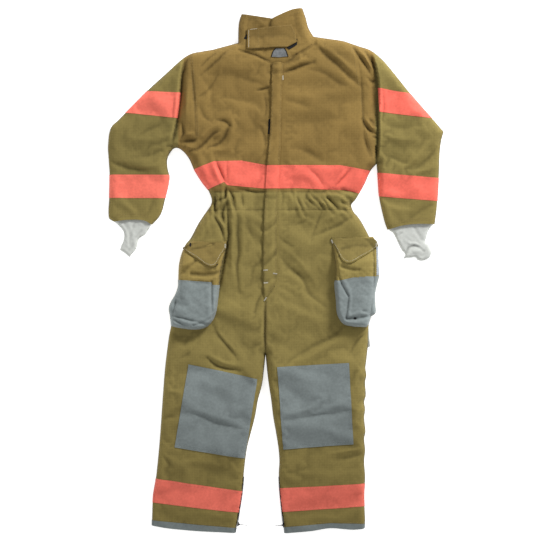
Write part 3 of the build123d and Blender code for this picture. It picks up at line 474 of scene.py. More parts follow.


# ------------------------------------------------------------------------------------------------
# How high the cloth lies: a rounded edge, then the listed folds
# ------------------------------------------------------------------------------------------------
# each fold: its line, its height in mm (a valley is negative) and its width
FOLDS = [
    # right armpit and chest
    ([(-275, 380), (-240, 395), (-215, 420), (-195, 438), (-176, 444)], -4.6, 7),
    ([(-266, 402), (-236, 428), (-206, 456), (-184, 466)], 5, 14),
    ([(-216, 394), (-190, 402), (-175, 412), (-162, 432), (-150, 462)], -4.2, 6),
    ([(-148, 462), (-162, 475), (-190, 482)], -3.6, 6),
    ([(-204, 424), (-180, 438), (-166, 458)], 5, 9),
    ([(-152, 404), (-140, 440), (-138, 470), (-150, 492)], 3, 12),
    ([(-200, 385), (-165, 388), (-146, 402)], 3, 10),
    ([(-302, 412), (-262, 415), (-246, 421)], -6, 9),
    ([(-290, 434), (-262, 438)], 3.5, 8),
    ([(-292, 398), (-266, 392)], 4, 8),
    ([(-300, 470), (-296, 440), (-306, 415)], -4, 6),
    ([(-275, 692), (-268, 640), (-258, 545), (-255, 480), (-254, 430)], -2.2, 5),
    ([(-272, 694), (-286, 658), (-298, 622), (-303, 560), (-313, 490), (-323, 440), (-331, 400)], -7, 8),
    ([(-278, 600), (-282, 540), (-284, 480)], 4, 10),
    ([(-236, 622), (-200, 655), (-166, 690), (-150, 706)], -3.2, 8),
    ([(-244, 640), (-216, 672), (-190, 696)], -2.4, 6),
    ([(-262, 545), (-225, 565), (-200, 595), (-184, 622)], -2.2, 7),
    ([(-184, 615), (-170, 655), (-150, 688)], 2.2, 12),
    ([(-226, 590), (-216, 560), (-225, 520)], 2.5, 14),
    ([(-240, 520), (-226, 490), (-205, 475)], -2, 8),
    ([(-142, 622), (-100, 610), (-60, 600), (-32, 582)], -2.4, 20),
    ([(-190, 562), (-120, 545), (-60, 540)], -2, 20),
    ([(-150, 642), (-100, 641), (-50, 642)], 2, 18),
    ([(-62, 574), (-42, 577), (-22, 583)], -3.5, 4),
    ([(-40, 560), (-32, 520), (-40, 480)], -1.8, 5),
    ([(-52, 460), (-36, 420), (-40, 372), (-62, 346)], -2.2, 6),
    ([(-110, 430), (-125, 400), (-130, 368)], -1.6, 14),
    # chest trim
    ([(-189, 350), (-176, 318), (-160, 282)], -5, 5),
    ([(-200, 340), (-184, 300), (-172, 280)], 4, 10),
    ([(-155, 346), (-155, 284)], -2.2, 4),
    ([(-52, 342), (-48, 300), (-60, 272)], -1.8, 12),
    ([(100, 330), (130, 300), (150, 268)], -2.6, 8),
    ([(232, 326), (205, 295), (178, 266)], -3.2, 5),
    ([(216, 322), (188, 284)], 2.6, 6),
    ([(275, 322), (255, 290), (245, 262)], 2, 12),
    # neck
    ([(-14, 655), (15, 658), (45, 670), (62, 688)], -4.5, 7),
    ([(-14, 627), (10, 628), (50, 640), (90, 654), (116, 662)], -5.5, 7),
    ([(-8, 642), (30, 645), (75, 662), (98, 690)], 4, 10),
    ([(70, 692), (76, 672), (55, 656)], 2.5, 7),
    ([(-118, 702), (-70, 686), (-22, 664)], -2.4, 5),
    ([(40, 675), (78, 696), (114, 718)], -2.0, 5),
    # left chest and shoulder
    ([(112, 734), (150, 690), (190, 655), (225, 620), (264, 588)], -3.6, 10),
    ([(100, 642), (150, 628), (190, 600), (230, 580)], -2.6, 14),
    ([(142, 716), (190, 682), (235, 640), (268, 600)], 3.4, 13),
    ([(236, 726), (255, 690), (280, 650), (302, 608)], -5, 8),
    ([(275, 706), (298, 665), (313, 638)], -4, 6),
    ([(262, 700), (286, 664), (304, 632)], 4, 8),
    ([(284, 614), (303, 600), (318, 612)], -3.6, 5),
    ([(245, 725), (262, 640), (268, 560), (272, 480), (282, 400), (300, 354)], -1.9, 5),
    ([(302, 605), (307, 545), (309, 482)], -4.5, 15),
    ([(268, 484), (285, 455), (305, 440), (320, 438)], -5, 6),
    ([(282, 482), (300, 456), (318, 455)], 4, 6),
    ([(290, 484), (310, 470)], -3, 5),
    ([(272, 432), (285, 395), (299, 373)], -2.2, 7),
    ([(298, 431), (320, 424)], -3.4, 5),
    ([(20, 545), (70, 535), (112, 520)], -1.6, 16),
    ([(60, 395), (110, 375), (150, 345)], -2.4, 16),
    ([(70, 560), (140, 545)], 1.5, 18),
    ([(180, 470), (170, 400), (190, 352)], 1.8, 24),
    # sleeves
    ([(-318, 655), (-356, 596), (-388, 560)], 2.4, 18),
    ([(-321, 560), (-326, 520), (-330, 480)], -2.4, 5),
    ([(-430, 540), (-468, 500), (-500, 470)], -2, 16),
    ([(-362, 470), (-404, 452), (-440, 430)], -2.2, 14),
    ([(-344, 430), (-392, 418), (-452, 424), (-510, 448)], 2.2, 20),
    ([(-346, 390), (-400, 372), (-460, 362)], -2.6, 12),
    ([(-350, 352), (-392, 336), (-440, 330)], 2.2, 14),
    ([(-516, 345), (-470, 328), (-420, 322)], -2.4, 9),
    ([(-388, 232), (-402, 200), (-414, 170)], -1.6, 12),
    ([(-502, 222), (-468, 205), (-440, 176)], 1.6, 14),
    ([(350, 640), (384, 590), (420, 548)], 2.4, 18),
    ([(336, 575), (340, 520), (336, 480)], -2, 5),
    ([(336, 470), (400, 458), (470, 470)], -2, 18),
    ([(334, 440), (380, 422), (440, 420)], 2.2, 16),
    ([(506, 442), (470, 396), (430, 350), (400, 330)], 3, 15),
    ([(514, 402), (480, 360), (440, 326)], -2.6, 11),
    ([(330, 380), (372, 360), (420, 342)], -2.2, 13),
    ([(508, 340), (470, 322), (430, 316)], 2.2, 10),
    ([(340, 220), (380, 200), (430, 196)], 1.6, 14),
    ([(486, 210), (450, 190), (420, 165)], -1.6, 12),
    # waist
    ([(-158, 266), (-161, 236)], -6, 5),
    ([(-204, 246), (-192, 226), (-200, 206)], -5, 5),
    ([(-190, 224), (-166, 233), (-158, 248)], -3.5, 4),
    ([(-150, 258), (-136, 235), (-132, 204)], -5, 5),
    ([(-182, 204), (-158, 230), (-150, 250)], 5, 7),
    ([(-148, 245), (-145, 214)], 4.5, 6),
    ([(-126, 263), (-92, 258), (-60, 250), (-36, 253)], -2.6, 5),
    ([(-110, 245), (-104, 204)], -2.4, 5),
    ([(12, 264), (20, 240), (16, 204)], -2.6, 5),
    ([(60, 244), (68, 225), (80, 204)], -2.8, 5),
    ([(102, 262), (92, 232), (100, 205)], -2.4, 5),
    ([(122, 226), (148, 216), (166, 204)], 3.4, 7),
    ([(140, 250), (162, 262), (200, 262), (232, 265)], -3, 6),
    ([(153, 237), (170, 225), (190, 204)], -4.4, 5),
    ([(204, 260), (240, 255), (256, 240)], -3.4, 5),
    ([(150, 242), (194, 240), (226, 214)], 4.4, 9),
    ([(236, 228), (234, 204)], -5, 5),
    # hips
    ([(-164, 212), (-172, 182), (-165, 154)], -6, 5),
    ([(-158, 216), (-154, 170), (-151, 120), (-156, 84), (-166, 36), (-176, -20), (-186, -80)], -6.5, 6),
    ([(-143, 202), (-138, 150), (-140, 60), (-141, 0)], 4, 10),
    ([(-130, 206), (-122, 170), (-122, 120), (-120, 60), (-125, 10), (-118, -62)], -3.4, 7),
    ([(-108, 196), (-106, 140), (-104, 60)], 2.4, 12),
    ([(-202, 180), (-180, 150), (-166, 104), (-157, 80)], -4.4, 5),
    ([(-194, 190), (-186, 168), (-166, 140)], 3.5, 7),
    ([(-208, 172), (-230, 132), (-246, 106)], 3, 11),
    ([(-96, 152), (-82, 122), (-70, 98)], -1.3, 8),
    ([(-50, 36), (-70, 15), (-82, -22)], -2, 12),
    ([(-45, -68), (-62, -100), (-70, -142)], -3, 8),
    ([(-112, -90), (-105, -180), (-110, -242)], -1.8, 20),
    ([(0, 62), (40, 15), (80, -20), (106, -70), (152, -106)], -3.4, 12),
    ([(30, 74), (80, 24), (122, -36)], 2.6, 16),
    ([(5, 116), (25, 95), (52, 79)], -1.8, 6),
    ([(242, 182), (200, 152), (150, 130), (118, 117)], -2.8, 9),
    ([(226, 196), (180, 176), (140, 160)], 2.4, 10),
    ([(145, 196), (130, 160), (110, 108)], -1.9, 7),
    ([(82, 188), (92, 166), (60, 148)], -1.5, 6),
    ([(-36, -92), (-37, -180), (-35, -262)], -5, 5),
    # legs above the knees
    ([(222, -164), (170, -205), (110, -235), (38, -282)], -3.4, 15),
    ([(206, -206), (130, -252), (80, -280)], 2.2, 14),
    ([(282, -188), (250, -225), (228, -262)], -2.3, 8),
    ([(-201, -168), (-180, -205), (-150, -240), (-124, -276)], -3.4, 8),
    ([(-186, -186), (-160, -220), (-130, -250)], 2.6, 10),
    ([(-218, -272), (-200, -290), (-178, -302), (-118, -312)], -4, 6),
    ([(-212, -262), (-170, -284), (-120, -296)], 2.6, 9),
    ([(-250, -228), (-280, -260), (-312, -276)], -2, 10),
    ([(-268, -198), (-300, -240)], -1.6, 12),
    ([(280, -300), (258, -330), (240, -372)], 2, 12),
    ([(280, -420), (258, -440), (248, -470)], 2.4, 11),
    # knee patches
    ([(-284, -444), (-236, -458), (-196, -478), (-140, -490), (-94, -500)], -1.3, 7),
    ([(-280, -428), (-230, -442), (-180, -462), (-120, -472)], 1.2, 12),
    ([(-250, -330), (-200, -360), (-140, -372)], 1.2, 26),
    ([(16, -470), (70, -462), (130, -452), (190, -446), (236, -434)], -1.2, 7),
    ([(24, -450), (74, -440), (120, -424)], 1.6, 11),
    ([(150, -428), (190, -420), (230, -402)], 1.4, 10),
    ([(-352, -380), (-326, -376), (-300, -386)], 2, 10),
    ([(-364, -470), (-336, -456), (-318, -462)], -2, 10),
    ([(-76, -420), (-62, -446), (-72, -480)], 2, 10),
    # shins
    ([(-330, -606), (-250, -600), (-160, -614)], 1.4, 22),
    ([(-360, -580), (-340, -610), (-350, -640)], -1.6, 14),
    ([(276, -558), (224, -566), (166, -576)], 2, 8),
    ([(272, -576), (226, -588), (180, -592)], -2, 9),
    ([(40, -620), (110, -640), (180, -632)], 1.4, 24),
    ([(-300, -770), (-220, -762), (-150, -786)], 1.2, 16),
    ([(60, -784), (140, -776), (220, -784)], 1.2, 14),
    # collar
    ([(-15, 803), (-22, 784), (-24, 764)], -4, 5),
    ([(-110, 740), (-104, 780), (-96, 806)], 2, 14),
    ([(96, 745), (80, 780), (66, 820)], 2.4, 16),
    ([(-60, 800), (-40, 785), (-24, 790)], 2, 12),
]  # fmt: skip
# sharp overlaps, where one layer lies on another: line, step in mm, how far it reaches on each side
STEPS = [
    ([(296, 702), (310, 650), (320, 600), (322, 500), (322, 400), (318, 345)], 9, 9),
    ([(-290, 690), (-302, 600), (-312, 500), (-332, 404)], -5.5, 8),
]
CREASES = [[tuple(q) for q in curve(f[0], 30)] for f in STEPS + FOLDS if f[2] <= 8]
FOLD_STRENGTH = 1.7
BODY_DEPTH, ARM_DEPTH, ARM_TAPER, LEG_TAPER, NECK_TAPER = 40.0, 34, 11, 21, 20
WAIST_MIDDLE, GATHER_PITCHES, GATHER_HEIGHT, SEAM_DEPTH = 222, (23, 37), 2.3, 1.8
CRUMPLE_HEIGHT = 0.9


def depth(points):
    """How high the top of the cloth would lie with no edge and no folds."""
    y = points[:, 1]
    high = np.full(len(points), BODY_DEPTH)
    arm = np.zeros(len(points))
    for side, edge in (("right", 375), ("left", 310)):
        arm = np.maximum(arm, smoothstep(-25, 25, outward(points, side)) * (y > edge))
    arm[(np.abs(points[:, 0]) > 310) & (y > 100) & (y < 400)] = 1
    high += arm * (ARM_DEPTH - ARM_TAPER * smoothstep(560, 150, y) - BODY_DEPTH)
    high -= LEG_TAPER * smoothstep(-250, -835, y) * (y < -200)
    high -= NECK_TAPER * smoothstep(690, 815, y) * (np.abs(points[:, 0]) < 125)
    return high


def gathers(points):
    """The small close folds that the elastic makes at the waist."""
    x, y = points.T
    warp = 9 * waves(points * (1, 0.25), 90, 3)
    strong = np.maximum(smoothstep(-110, -160, x), 0.35 + 0.2 * smoothstep(0, 60, x))
    strong *= 1 - 0.75 * smoothstep(-100, -60, x) * smoothstep(30, 0, x)
    band = bell(y - WAIST_MIDDLE, 34) + 0.35 * bell(y - 180, 40)
    slant = (0.10 + 0.75 * smoothstep(40, 140, x)) * (y - WAIST_MIDDLE)
    close, wide = (2 * math.pi / pitch for pitch in GATHER_PITCHES)
    ripple = np.sin((x + warp + slant) * close) + 0.6 * np.sin((x - warp + slant) * wide + 1)
    seam = bell(y - 197, 5) + bell(y - 253, 5)
    body = smoothstep(315, 300, np.abs(x)) * smoothstep(-330, -310, x)
    uneven = 1 + 0.6 * waves(points, 70, 4)
    return (GATHER_HEIGHT * ripple * strong * band * uneven - SEAM_DEPTH * seam) * body


# where the cloth is most crumpled: x, y, reach
CRUMPLED = [
    (-260, 420, 70), (-170, 400, 60), (285, 450, 60), (300, 360, 60), (-160, 160, 60), (170, 170, 80),
    (-80, -120, 70), (40, -170, 90), (-330, -380, 60), (230, -420, 60), (-420, 380, 70), (430, 370, 80),
    (-60, 640, 60), (240, 640, 60), (-150, 540, 90), (150, -210, 70), (-150, -250, 80), (-280, 620, 50),
    (200, 400, 90), (-90, -640, 60), (60, -600, 50),
]  # fmt: skip


def crumple(points):
    """Short sharp creases, in a web that follows no line, most of all where the cloth bunches."""
    mask = np.full(len(points), 0.16)
    for x, y, reach in CRUMPLED:
        mask = np.maximum(mask, np.exp(-(((points[:, 0] - x) ** 2 + (points[:, 1] - y) ** 2) / reach**2)))
    bent = points + 18 * np.column_stack([waves(points, 160, 91), waves(points, 160, 92)])
    web = np.exp(-np.abs(waves(bent, 120, 93)) / 0.30) - 0.8 * np.exp(-np.abs(waves(bent, 95, 94)) / 0.25)
    return CRUMPLE_HEIGHT * mask * web


def cloth_heights(points, sides):
    """The front and back sheets' heights, and each point's share of the full depth."""
    edge = distances(points, sides)
    high = depth(points)
    reach = 0.8 * high + 4
    t = np.clip(edge / reach, 0, 1)
    share = np.sqrt(1 - (1 - t) ** 2)
    folds = np.zeros(len(points))
    for line, height, width in FOLDS:
        path = curve(line, 8)
        box_low, box_high = path.min(0) - 3 * width, path.max(0) + 3 * width
        near = np.flatnonzero(((points > box_low) & (points < box_high)).all(1))
        far, _, along = to_line(points[near], path)
        taper = np.sin(math.pi * np.clip(along, 0.06, 0.94)) ** 0.6
        folds[near] += FOLD_STRENGTH * height * taper * np.exp(-((far / (0.85 * width)) ** 1.35))
    for line, height, width in STEPS:
        far, side, along = to_line(points, curve(line, 6))
        ends = smoothstep(0, 0.12, along) * smoothstep(1, 0.9, along)
        folds += height * side * ends * np.minimum(far / 2.5, 1) * np.exp(-((far / (2.6 * width)) ** 1.3))
        folds -= 3.0 * ends * bell(far, 3.0)
    folds += gathers(points)
    folds += crumple(points)
    folds += 1.6 * waves(points, 140, 5) + 0.45 * waves(points, 60, 6) + 0.12 * waves(points, 24, 8)
    closure = points[:, 0] + 8 - 0.033 * points[:, 1]
    calm = 1 - 0.75 * bell(closure, 26) * (points[:, 1] > -70)
    rest = 7 * np.minimum(1, high / 30)
    top = rest + (high - rest) * share + folds * calm * np.minimum(1, 0.25 + share)
    floor = 0.8 + (rest - 0.8) * (1 - np.clip(edge / 16, 0, 1)) ** 2
    top = np.maximum(top, floor + 0.4)
    return top, floor, share


def carried(places, flat, tris, values):
    """Values at the points of one flat mesh, read at other places."""
    tree = BVHTree.FromPolygons([(x, y, 0) for x, y in flat], tris.tolist())
    i = np.array([tree.find_nearest((x, y, 0))[2] for x, y in places])
    a, b, c = (flat[tris[i, k]] for k in range(3))
    (ux, uy), (vx, vy), (px, py) = (b - a).T, (c - a).T, (places - a).T
    whole = ux * vy - uy * vx
    u = np.clip((px * vy - py * vx) / whole, 0, 1)
    v = np.clip((ux * py - uy * px) / whole, 0, 1)
    (u, v), (at_a, at_b, at_c) = (u[:, None], v[:, None]), (values[tris[i, k]] for k in range(3))
    return (1 - u - v) * at_a + u * at_b + v * at_c


def rumpled(step=8.0, frames=20, most=6.0):
    """How the front sheet buckles, worked out as cloth that is a little too large for the way it has to go.

    A coarse copy of the sheet is held at its seams and along the closure, and springs hold the rest of it to
    the padding below. Its threads are up to a tenth longer where it is crumpled.
    """
    runs = [(kind, curve(points, step)) for kind, points in RIM]
    sides = np.concatenate([r for kind, r in runs if kind == "side"])
    flat, tris = lattice(np.concatenate([r[:-1] for _, r in runs]), step)
    top, _, share = cloth_heights(flat, sides)
    start = np.column_stack([flat, top])
    m = bpy.data.meshes.new("rumple_cloth")
    m.from_pydata((start * MM).tolist(), [], tris.tolist())
    cloth = bpy.data.objects.new("rumple_cloth", m)
    bpy.context.scene.collection.objects.link(cloth)

    x, y = flat.T
    loose = np.full(len(flat), 0.25)
    for cx, cy, reach in CRUMPLED:
        loose = np.maximum(loose, np.exp(-((x - cx) ** 2 + (y - cy) ** 2) / (1.3 * reach) ** 2))
    held = np.full(len(flat), 0.1)
    held[y > 700] = 0.6
    held[(share < 0.35) | ((np.abs(x + 10 - 0.033 * y) < 24) & (y > -80))] = 1.0
    loose[held > 0.5] = 0
    for title, weights in (("held", held), ("loose", loose)):
        group = cloth.vertex_groups.new(name=title)
        for i, w in enumerate(weights):
            group.add([i], float(w), "REPLACE")
    modifier = cloth.modifiers.new("cloth", "CLOTH")
    s = modifier.settings
    s.quality, s.mass, s.air_damping = 7, 0.15, 2.0
    s.tension_stiffness = s.compression_stiffness = 25
    s.shear_stiffness, s.bending_stiffness = 8, 5
    s.vertex_group_mass, s.pin_stiffness = "held", 1.0
    s.vertex_group_shrink, s.shrink_min, s.shrink_max = "loose", -0.01, -0.1
    s.effector_weights.gravity = 0
    modifier.collision_settings.use_collision = False
    modifier.point_cache.frame_start, modifier.point_cache.frame_end = 1, frames
    scene = bpy.context.scene
    for number in range(1, frames + 1):
        scene.frame_set(number)
    settled = cloth.evaluated_get(bpy.context.evaluated_depsgraph_get())
    end = np.empty(3 * len(flat))
    settled.to_mesh().vertices.foreach_get("co", end)
    settled.to_mesh_clear()
    scene.frame_set(1)
    bpy.data.objects.remove(cloth)
    move = end.reshape(-1, 3) / MM - start
    move *= np.minimum(1, most / np.maximum(np.linalg.norm(move, axis=1), 1e-9))[:, None]
    return flat, tris, move * smoothstep(0.2, 0.6, share)[:, None]


def shells(step, rumples=None, inset=0.0):
    """The garment's front and back sheets as one mesh, sewn together along the sides."""
    runs = [(kind, curve(points, step)) for kind, points in RIM]
    outline = np.concatenate([r[:-1] for _, r in runs])
    sides = np.concatenate([r for kind, r in runs if kind == "side"])
    mouths = np.concatenate([r[1:-1] for kind, r in runs if kind == "mouth"])
    sewn_on = [p + p[:1] for p in [CHEST_TRIM, WAISTBAND, *BANDS.values()]]
    lines = CUTS + ([] if inset else sewn_on + CREASES)
    flat, tris = lattice(outline, step, lines)
    top, floor, share = cloth_heights(flat, sides)
    rim = np.unique(rim_edges(tris))
    open_rim = distances(flat[rim], mouths) < 0.4 * step
    open_rim &= distances(flat[rim], [points[0] for _, points in RIM]) > 0.5
    sewn = rim[~open_rim]
    n = len(flat)
    back = np.arange(n) + n
    back[sewn] = sewn
    front_z, back_z = top.copy(), floor.copy()
    front_z[sewn] = back_z[sewn] = (0.65 * floor + 0.35 * top)[sewn]
    over = np.column_stack([flat, front_z])
    if rumples:
        over += carried(flat, *rumples)
    points = np.concatenate([over, np.column_stack([flat, back_z])])
    every = np.concatenate([tris, back[tris[:, ::-1]]])
    front = np.arange(len(every)) < len(tris)
    used, every = np.unique(every, return_inverse=True)
    every = every.reshape(-1, 3)
    points, flat2 = points[used], np.concatenate([flat, flat])[used]
    if inset:
        points -= inset * vertex_normals(points, every)
    return {
        "shade": crease_shade(points, every),
        "points": points, "flat": flat2, "tris": every, "front": front,
        "part": part_of(flat2[every].mean(1)), "share": np.concatenate([share, share])[used],
    }  # fmt: skip


# ------------------------------------------------------------------------------------------------
# Materials: colour and bump come from nodes, in each piece's own flat coordinates
# ------------------------------------------------------------------------------------------------
def material(name, colour, rough=0.85, weave=None, weave_depth=0.15, mottle=0.12, wear=0.1, bumps=None,
             sheen=0.0, metal=0.0, painted_glow=0.0, solid=False):  # fmt: skip
    """A cloth-like surface. weave is the thread spacing in metres, and bumps the size and depth of a soft grain. The
    glow setting gives a painted glow: the colour also shines out as emission.
    """
    m = bpy.data.materials.new(name)
    m.use_nodes = True
    t = m.node_tree
    t.nodes.clear()

    def node(kind, **settings):
        n = t.nodes.new(kind)
        for key, value in settings.items():
            setattr(n, key, value)
        return n

    def join(a, b):
        t.links.new(a, b)

    out, shader = node("ShaderNodeOutputMaterial"), node("ShaderNodeBsdfPrincipled")
    join(shader.outputs[0], out.inputs[0])
    if solid:
        place = node("ShaderNodeTexCoord").outputs["Object"]
    else:
        place = node("ShaderNodeUVMap", uv_map="flat").outputs[0]
    broad, fine = node("ShaderNodeTexNoise"), node("ShaderNodeTexNoise")
    for n, scale, detail in ((broad, 9.0, 4.0), (fine, 140.0, 3.0)):
        n.inputs["Scale"].default_value = scale
        n.inputs["Detail"].default_value = detail
        join(place, n.inputs["Vector"])
    base = node("ShaderNodeMix", data_type="RGBA", blend_type="MULTIPLY")
    base.inputs[0].default_value = 1.0
    base.inputs[6].default_value = (*colour, 1)
    base.inputs[7].default_value = (1, 1, 1, 1)
    if not solid:
        join(node("ShaderNodeAttribute", attribute_name="tint").outputs["Color"], base.inputs[7])
    last = base.outputs[2]
    for n, amount in ((broad, mottle), (fine, wear)):
        spread = node("ShaderNodeMapRange")
        spread.inputs["From Min"].default_value = 0.3
        spread.inputs["From Max"].default_value = 0.7
        spread.inputs["To Min"].default_value = 1 - amount
        spread.inputs["To Max"].default_value = 1 + amount
        join(n.outputs["Fac"], spread.inputs["Value"])
        scaled = node("ShaderNodeVectorMath", operation="SCALE")
        join(last, scaled.inputs[0])
        join(spread.outputs[0], scaled.inputs["Scale"])
        last = scaled.outputs[0]
    height = None
    if weave:
        threads = []
        for direction in ("X", "Y"):
            w = node("ShaderNodeTexWave", wave_type="BANDS", bands_direction=direction)
            w.inputs["Scale"].default_value = 0.314 / weave
            w.inputs["Distortion"].default_value = 0.6
            w.inputs["Detail"].default_value = 1.0
            w.inputs["Detail Scale"].default_value = 2.0
            join(place, w.inputs["Vector"])
            threads.append(w.outputs["Fac"])
        both = node("ShaderNodeMath", operation="MAXIMUM")
        join(threads[0], both.inputs[0])
        join(threads[1], both.inputs[1])
        height = both.outputs[0]
        shade = node("ShaderNodeMapRange")
        shade.inputs["To Min"].default_value = 1 - 0.5 * weave_depth
        shade.inputs["To Max"].default_value = 1 + 0.5 * weave_depth
        join(height, shade.inputs["Value"])
        scaled = node("ShaderNodeVectorMath", operation="SCALE")
        join(last, scaled.inputs[0])
        join(shade.outputs[0], scaled.inputs["Scale"])
        last = scaled.outputs[0]
    join(last, shader.inputs["Base Color"])
    # painted glow: the surface's own colour shines out as emission, with no lamp behind it
    if painted_glow:
        join(last, shader.inputs["Emission Color"])
        shader.inputs["Emission Strength"].default_value = painted_glow
    bump = node("ShaderNodeBump")
    bump.inputs["Strength"].default_value = 0.35
    bump.inputs["Distance"].default_value = 0.0006
    if height is not None:
        join(height, bump.inputs["Height"])
        join(bump.outputs[0], shader.inputs["Normal"])
    if bumps:
        grain = node("ShaderNodeTexNoise")
        grain.inputs["Scale"].default_value = 1 / bumps[0]
        grain.inputs["Detail"].default_value = 4.0
        join(place, grain.inputs["Vector"])
        soft = node("ShaderNodeBump")
        soft.inputs["Strength"].default_value = 0.5
        soft.inputs["Distance"].default_value = bumps[1]
        join(grain.outputs["Fac"], soft.inputs["Height"])
        if height is not None:
            join(bump.outputs[0], soft.inputs["Normal"])
        join(soft.outputs[0], shader.inputs["Normal"])
    shader.inputs["Roughness"].default_value = rough
    shader.inputs["Metallic"].default_value = metal
    shader.inputs["Sheen Weight"].default_value = sheen
    shader.inputs["Specular IOR Level"].default_value = 0.5 if metal else 0.12
    return m


SHELL = material("shell_weave", (0.234, 0.152, 0.0452), weave=0.0052, weave_depth=0.16, mottle=0.04, wear=0.06,
                 bumps=(0.006, 0.0004), sheen=0.03)  # fmt: skip
# the fluorescent trim has a painted glow: a little emission in its own colour
TRIM = material("fluorescent_weave", (0.83, 0.152, 0.108), rough=0.6, weave=0.004, weave_depth=0.08, mottle=0.07,
                wear=0.07, bumps=(0.012, 0.0003), painted_glow=0.05)  # fmt: skip
SUEDE = material("grey_suede", (0.205, 0.235, 0.232), rough=0.95, mottle=0.07, wear=0.08, bumps=(0.004, 0.0004),
                 sheen=0.15)  # fmt: skip
KNIT = material("rib_knit", (0.56, 0.575, 0.54), rough=0.95, mottle=0.05, wear=0.05, bumps=(0.004, 0.0006),
                sheen=0.2)  # fmt: skip
LINER = material("quilted_facecloth", (0.10, 0.085, 0.055), weave=0.012, weave_depth=0.25, bumps=(0.02, 0.002))
TAPE = material("black_tape", (0.012, 0.012, 0.013), rough=0.9, weave=0.002, weave_depth=0.3, sheen=0.1)
THREAD = material("white_thread", (0.62, 0.60, 0.52), rough=0.7, mottle=0.05, wear=0.1)
TAN_THREAD = material("tan_thread", (0.30, 0.22, 0.095), rough=0.7, mottle=0.05, wear=0.1)
DARK_THREAD = material("dark_thread", (0.16, 0.105, 0.038), rough=0.8, mottle=0.05, wear=0.1)
PINK_THREAD = material("pink_thread", (0.92, 0.36, 0.28), rough=0.7, mottle=0.05, wear=0.1)
GREY_THREAD = material("grey_thread", (0.40, 0.44, 0.44), rough=0.8, mottle=0.05, wear=0.1)
LABEL = material("grey_label", (0.14, 0.147, 0.15), rough=0.5, weave=0.0015, weave_depth=0.2, mottle=0.3, wear=0.2)
REFLECTIVE = material("pale_grey_tape", (0.30, 0.33, 0.37), rough=0.6, weave=0.002, weave_depth=0.2, mottle=0.08)
CAST = material("cast_metal", (0.035, 0.035, 0.036), rough=0.38, mottle=0.1, wear=0.2, bumps=(0.002, 0.0001),
                metal=0.85, solid=True)  # fmt: skip
METAL = material("blackened_metal", (0.035, 0.035, 0.036), rough=0.38, mottle=0.1, wear=0.2, metal=0.85)
TEETH = material("moulded_teeth", (0.02, 0.02, 0.021), rough=0.45, mottle=0.05, wear=0.1)

CAST_NODES = (
    "main_zip_slider", "leg_zip_slider_right", "leg_zip_slider_left", "leg_zip_pull_right", "leg_zip_pull_left",
)  # fmt: skip
for node_name in CAST_NODES:
    looks = frame["nodes"][node_name].data.materials
    looks.clear()
    looks.append(CAST)


# ------------------------------------------------------------------------------------------------
# Meshes
# ------------------------------------------------------------------------------------------------
def tone(flat):
    """The shell's tint over the garment: the body is tanner, and the sleeves, seat and shins are more olive."""
    x, y = flat.T
    olive = np.maximum.reduce([
        smoothstep(-6, 6, outward(flat, "right")) * (y > 370), smoothstep(-6, 6, outward(flat, "left")) * (y > 300),
        ((np.abs(x) > 312) & (y > 100)).astype(float), smoothstep(262, 250, y),
    ])  # fmt: skip
    low = smoothstep(-250, -760, y)
    tint = np.ones((len(flat), 3))
    tint *= 1 + (np.array([0.98, 1.19, 1.28]) - 1) * olive[:, None]
    tint *= 1 + (np.array([0.76, 0.75, 0.72]) - 1) * low[:, None]
    tint *= (1 - 0.14 * smoothstep(725, 745, y) * smoothstep(20, -20, x))[:, None]
    tint *= (1 - 0.12 * smoothstep(-300, -340, x) * smoothstep(250, 300, y))[:, None]
    tint *= (1 + 0.04 * waves(flat, 170, 21))[:, None]
    return tint


def mesh(name, points, tris, look, flat=None, tint=None, normals=None, smooth=True):
    """A mesh object from points in mm, with a flat map for its weave and a tint."""
    m = bpy.data.meshes.new(name)
    m.from_pydata((np.asarray(points) * MM).tolist(), [], [list(map(int, t)) for t in tris])
    o = bpy.data.objects.new(name, m)
    bpy.context.scene.collection.objects.link(o)
    flat = np.asarray(points)[:, :2] if flat is None else flat
    corners = np.array([l.vertex_index for l in m.loops])
    uv = m.uv_layers.new(name="flat")
    uv.data.foreach_set("uv", (np.asarray(flat)[corners] * MM).ravel())
    colour = m.color_attributes.new("tint", "FLOAT_COLOR", "POINT")
    rgb = np.ones((len(m.vertices), 4))
    if tint is not None:
        rgb[:, :3] = tint
    colour.data.foreach_set("color", rgb.ravel())
    m.materials.append(look)
    m.polygons.foreach_set("use_smooth", [smooth] * len(m.polygons))
    if normals is not None:
        m.normals_split_custom_set_from_vertices(normals.tolist())
    m.update()
    return o


def subset(shell, keep, lift=0.0, skirt=0.0):
    """The kept triangles of a shell, lifted along its normals, with a skirt down to it round their rim."""
    tris = shell["tris"][keep]
    used, local = np.unique(tris, return_inverse=True)
    local = local.reshape(-1, 3)
    normals = shell["normals"][used]
    points = shell["points"][used] + lift * normals
    flat = shell["flat"][used]
    if skirt:
        rim = rim_edges(local)
        ring = np.unique(rim)
        low = np.full(len(used), -1)
        low[ring] = len(used) + np.arange(len(ring))
        points = np.concatenate([points, points[ring] - (lift + skirt) * normals[ring]])
        flat = np.concatenate([flat, flat[ring] + 0.5])
        normals = np.concatenate([normals, normals[ring]])
        a, b = rim.T
        local = np.concatenate([local, np.column_stack([b, a, low[a]]), np.column_stack([b, low[a], low[b]])])
    return points, local, flat, normals


SKIRT = 0.6


def shade_of(shell, keep):
    """The crease shade of a subset's points, and of its skirt."""
    used, local = np.unique(shell["tris"][keep], return_inverse=True)
    shade = shell["shade"][used]
    return np.concatenate([shade, shade[np.unique(rim_edges(local.reshape(-1, 3)))]])


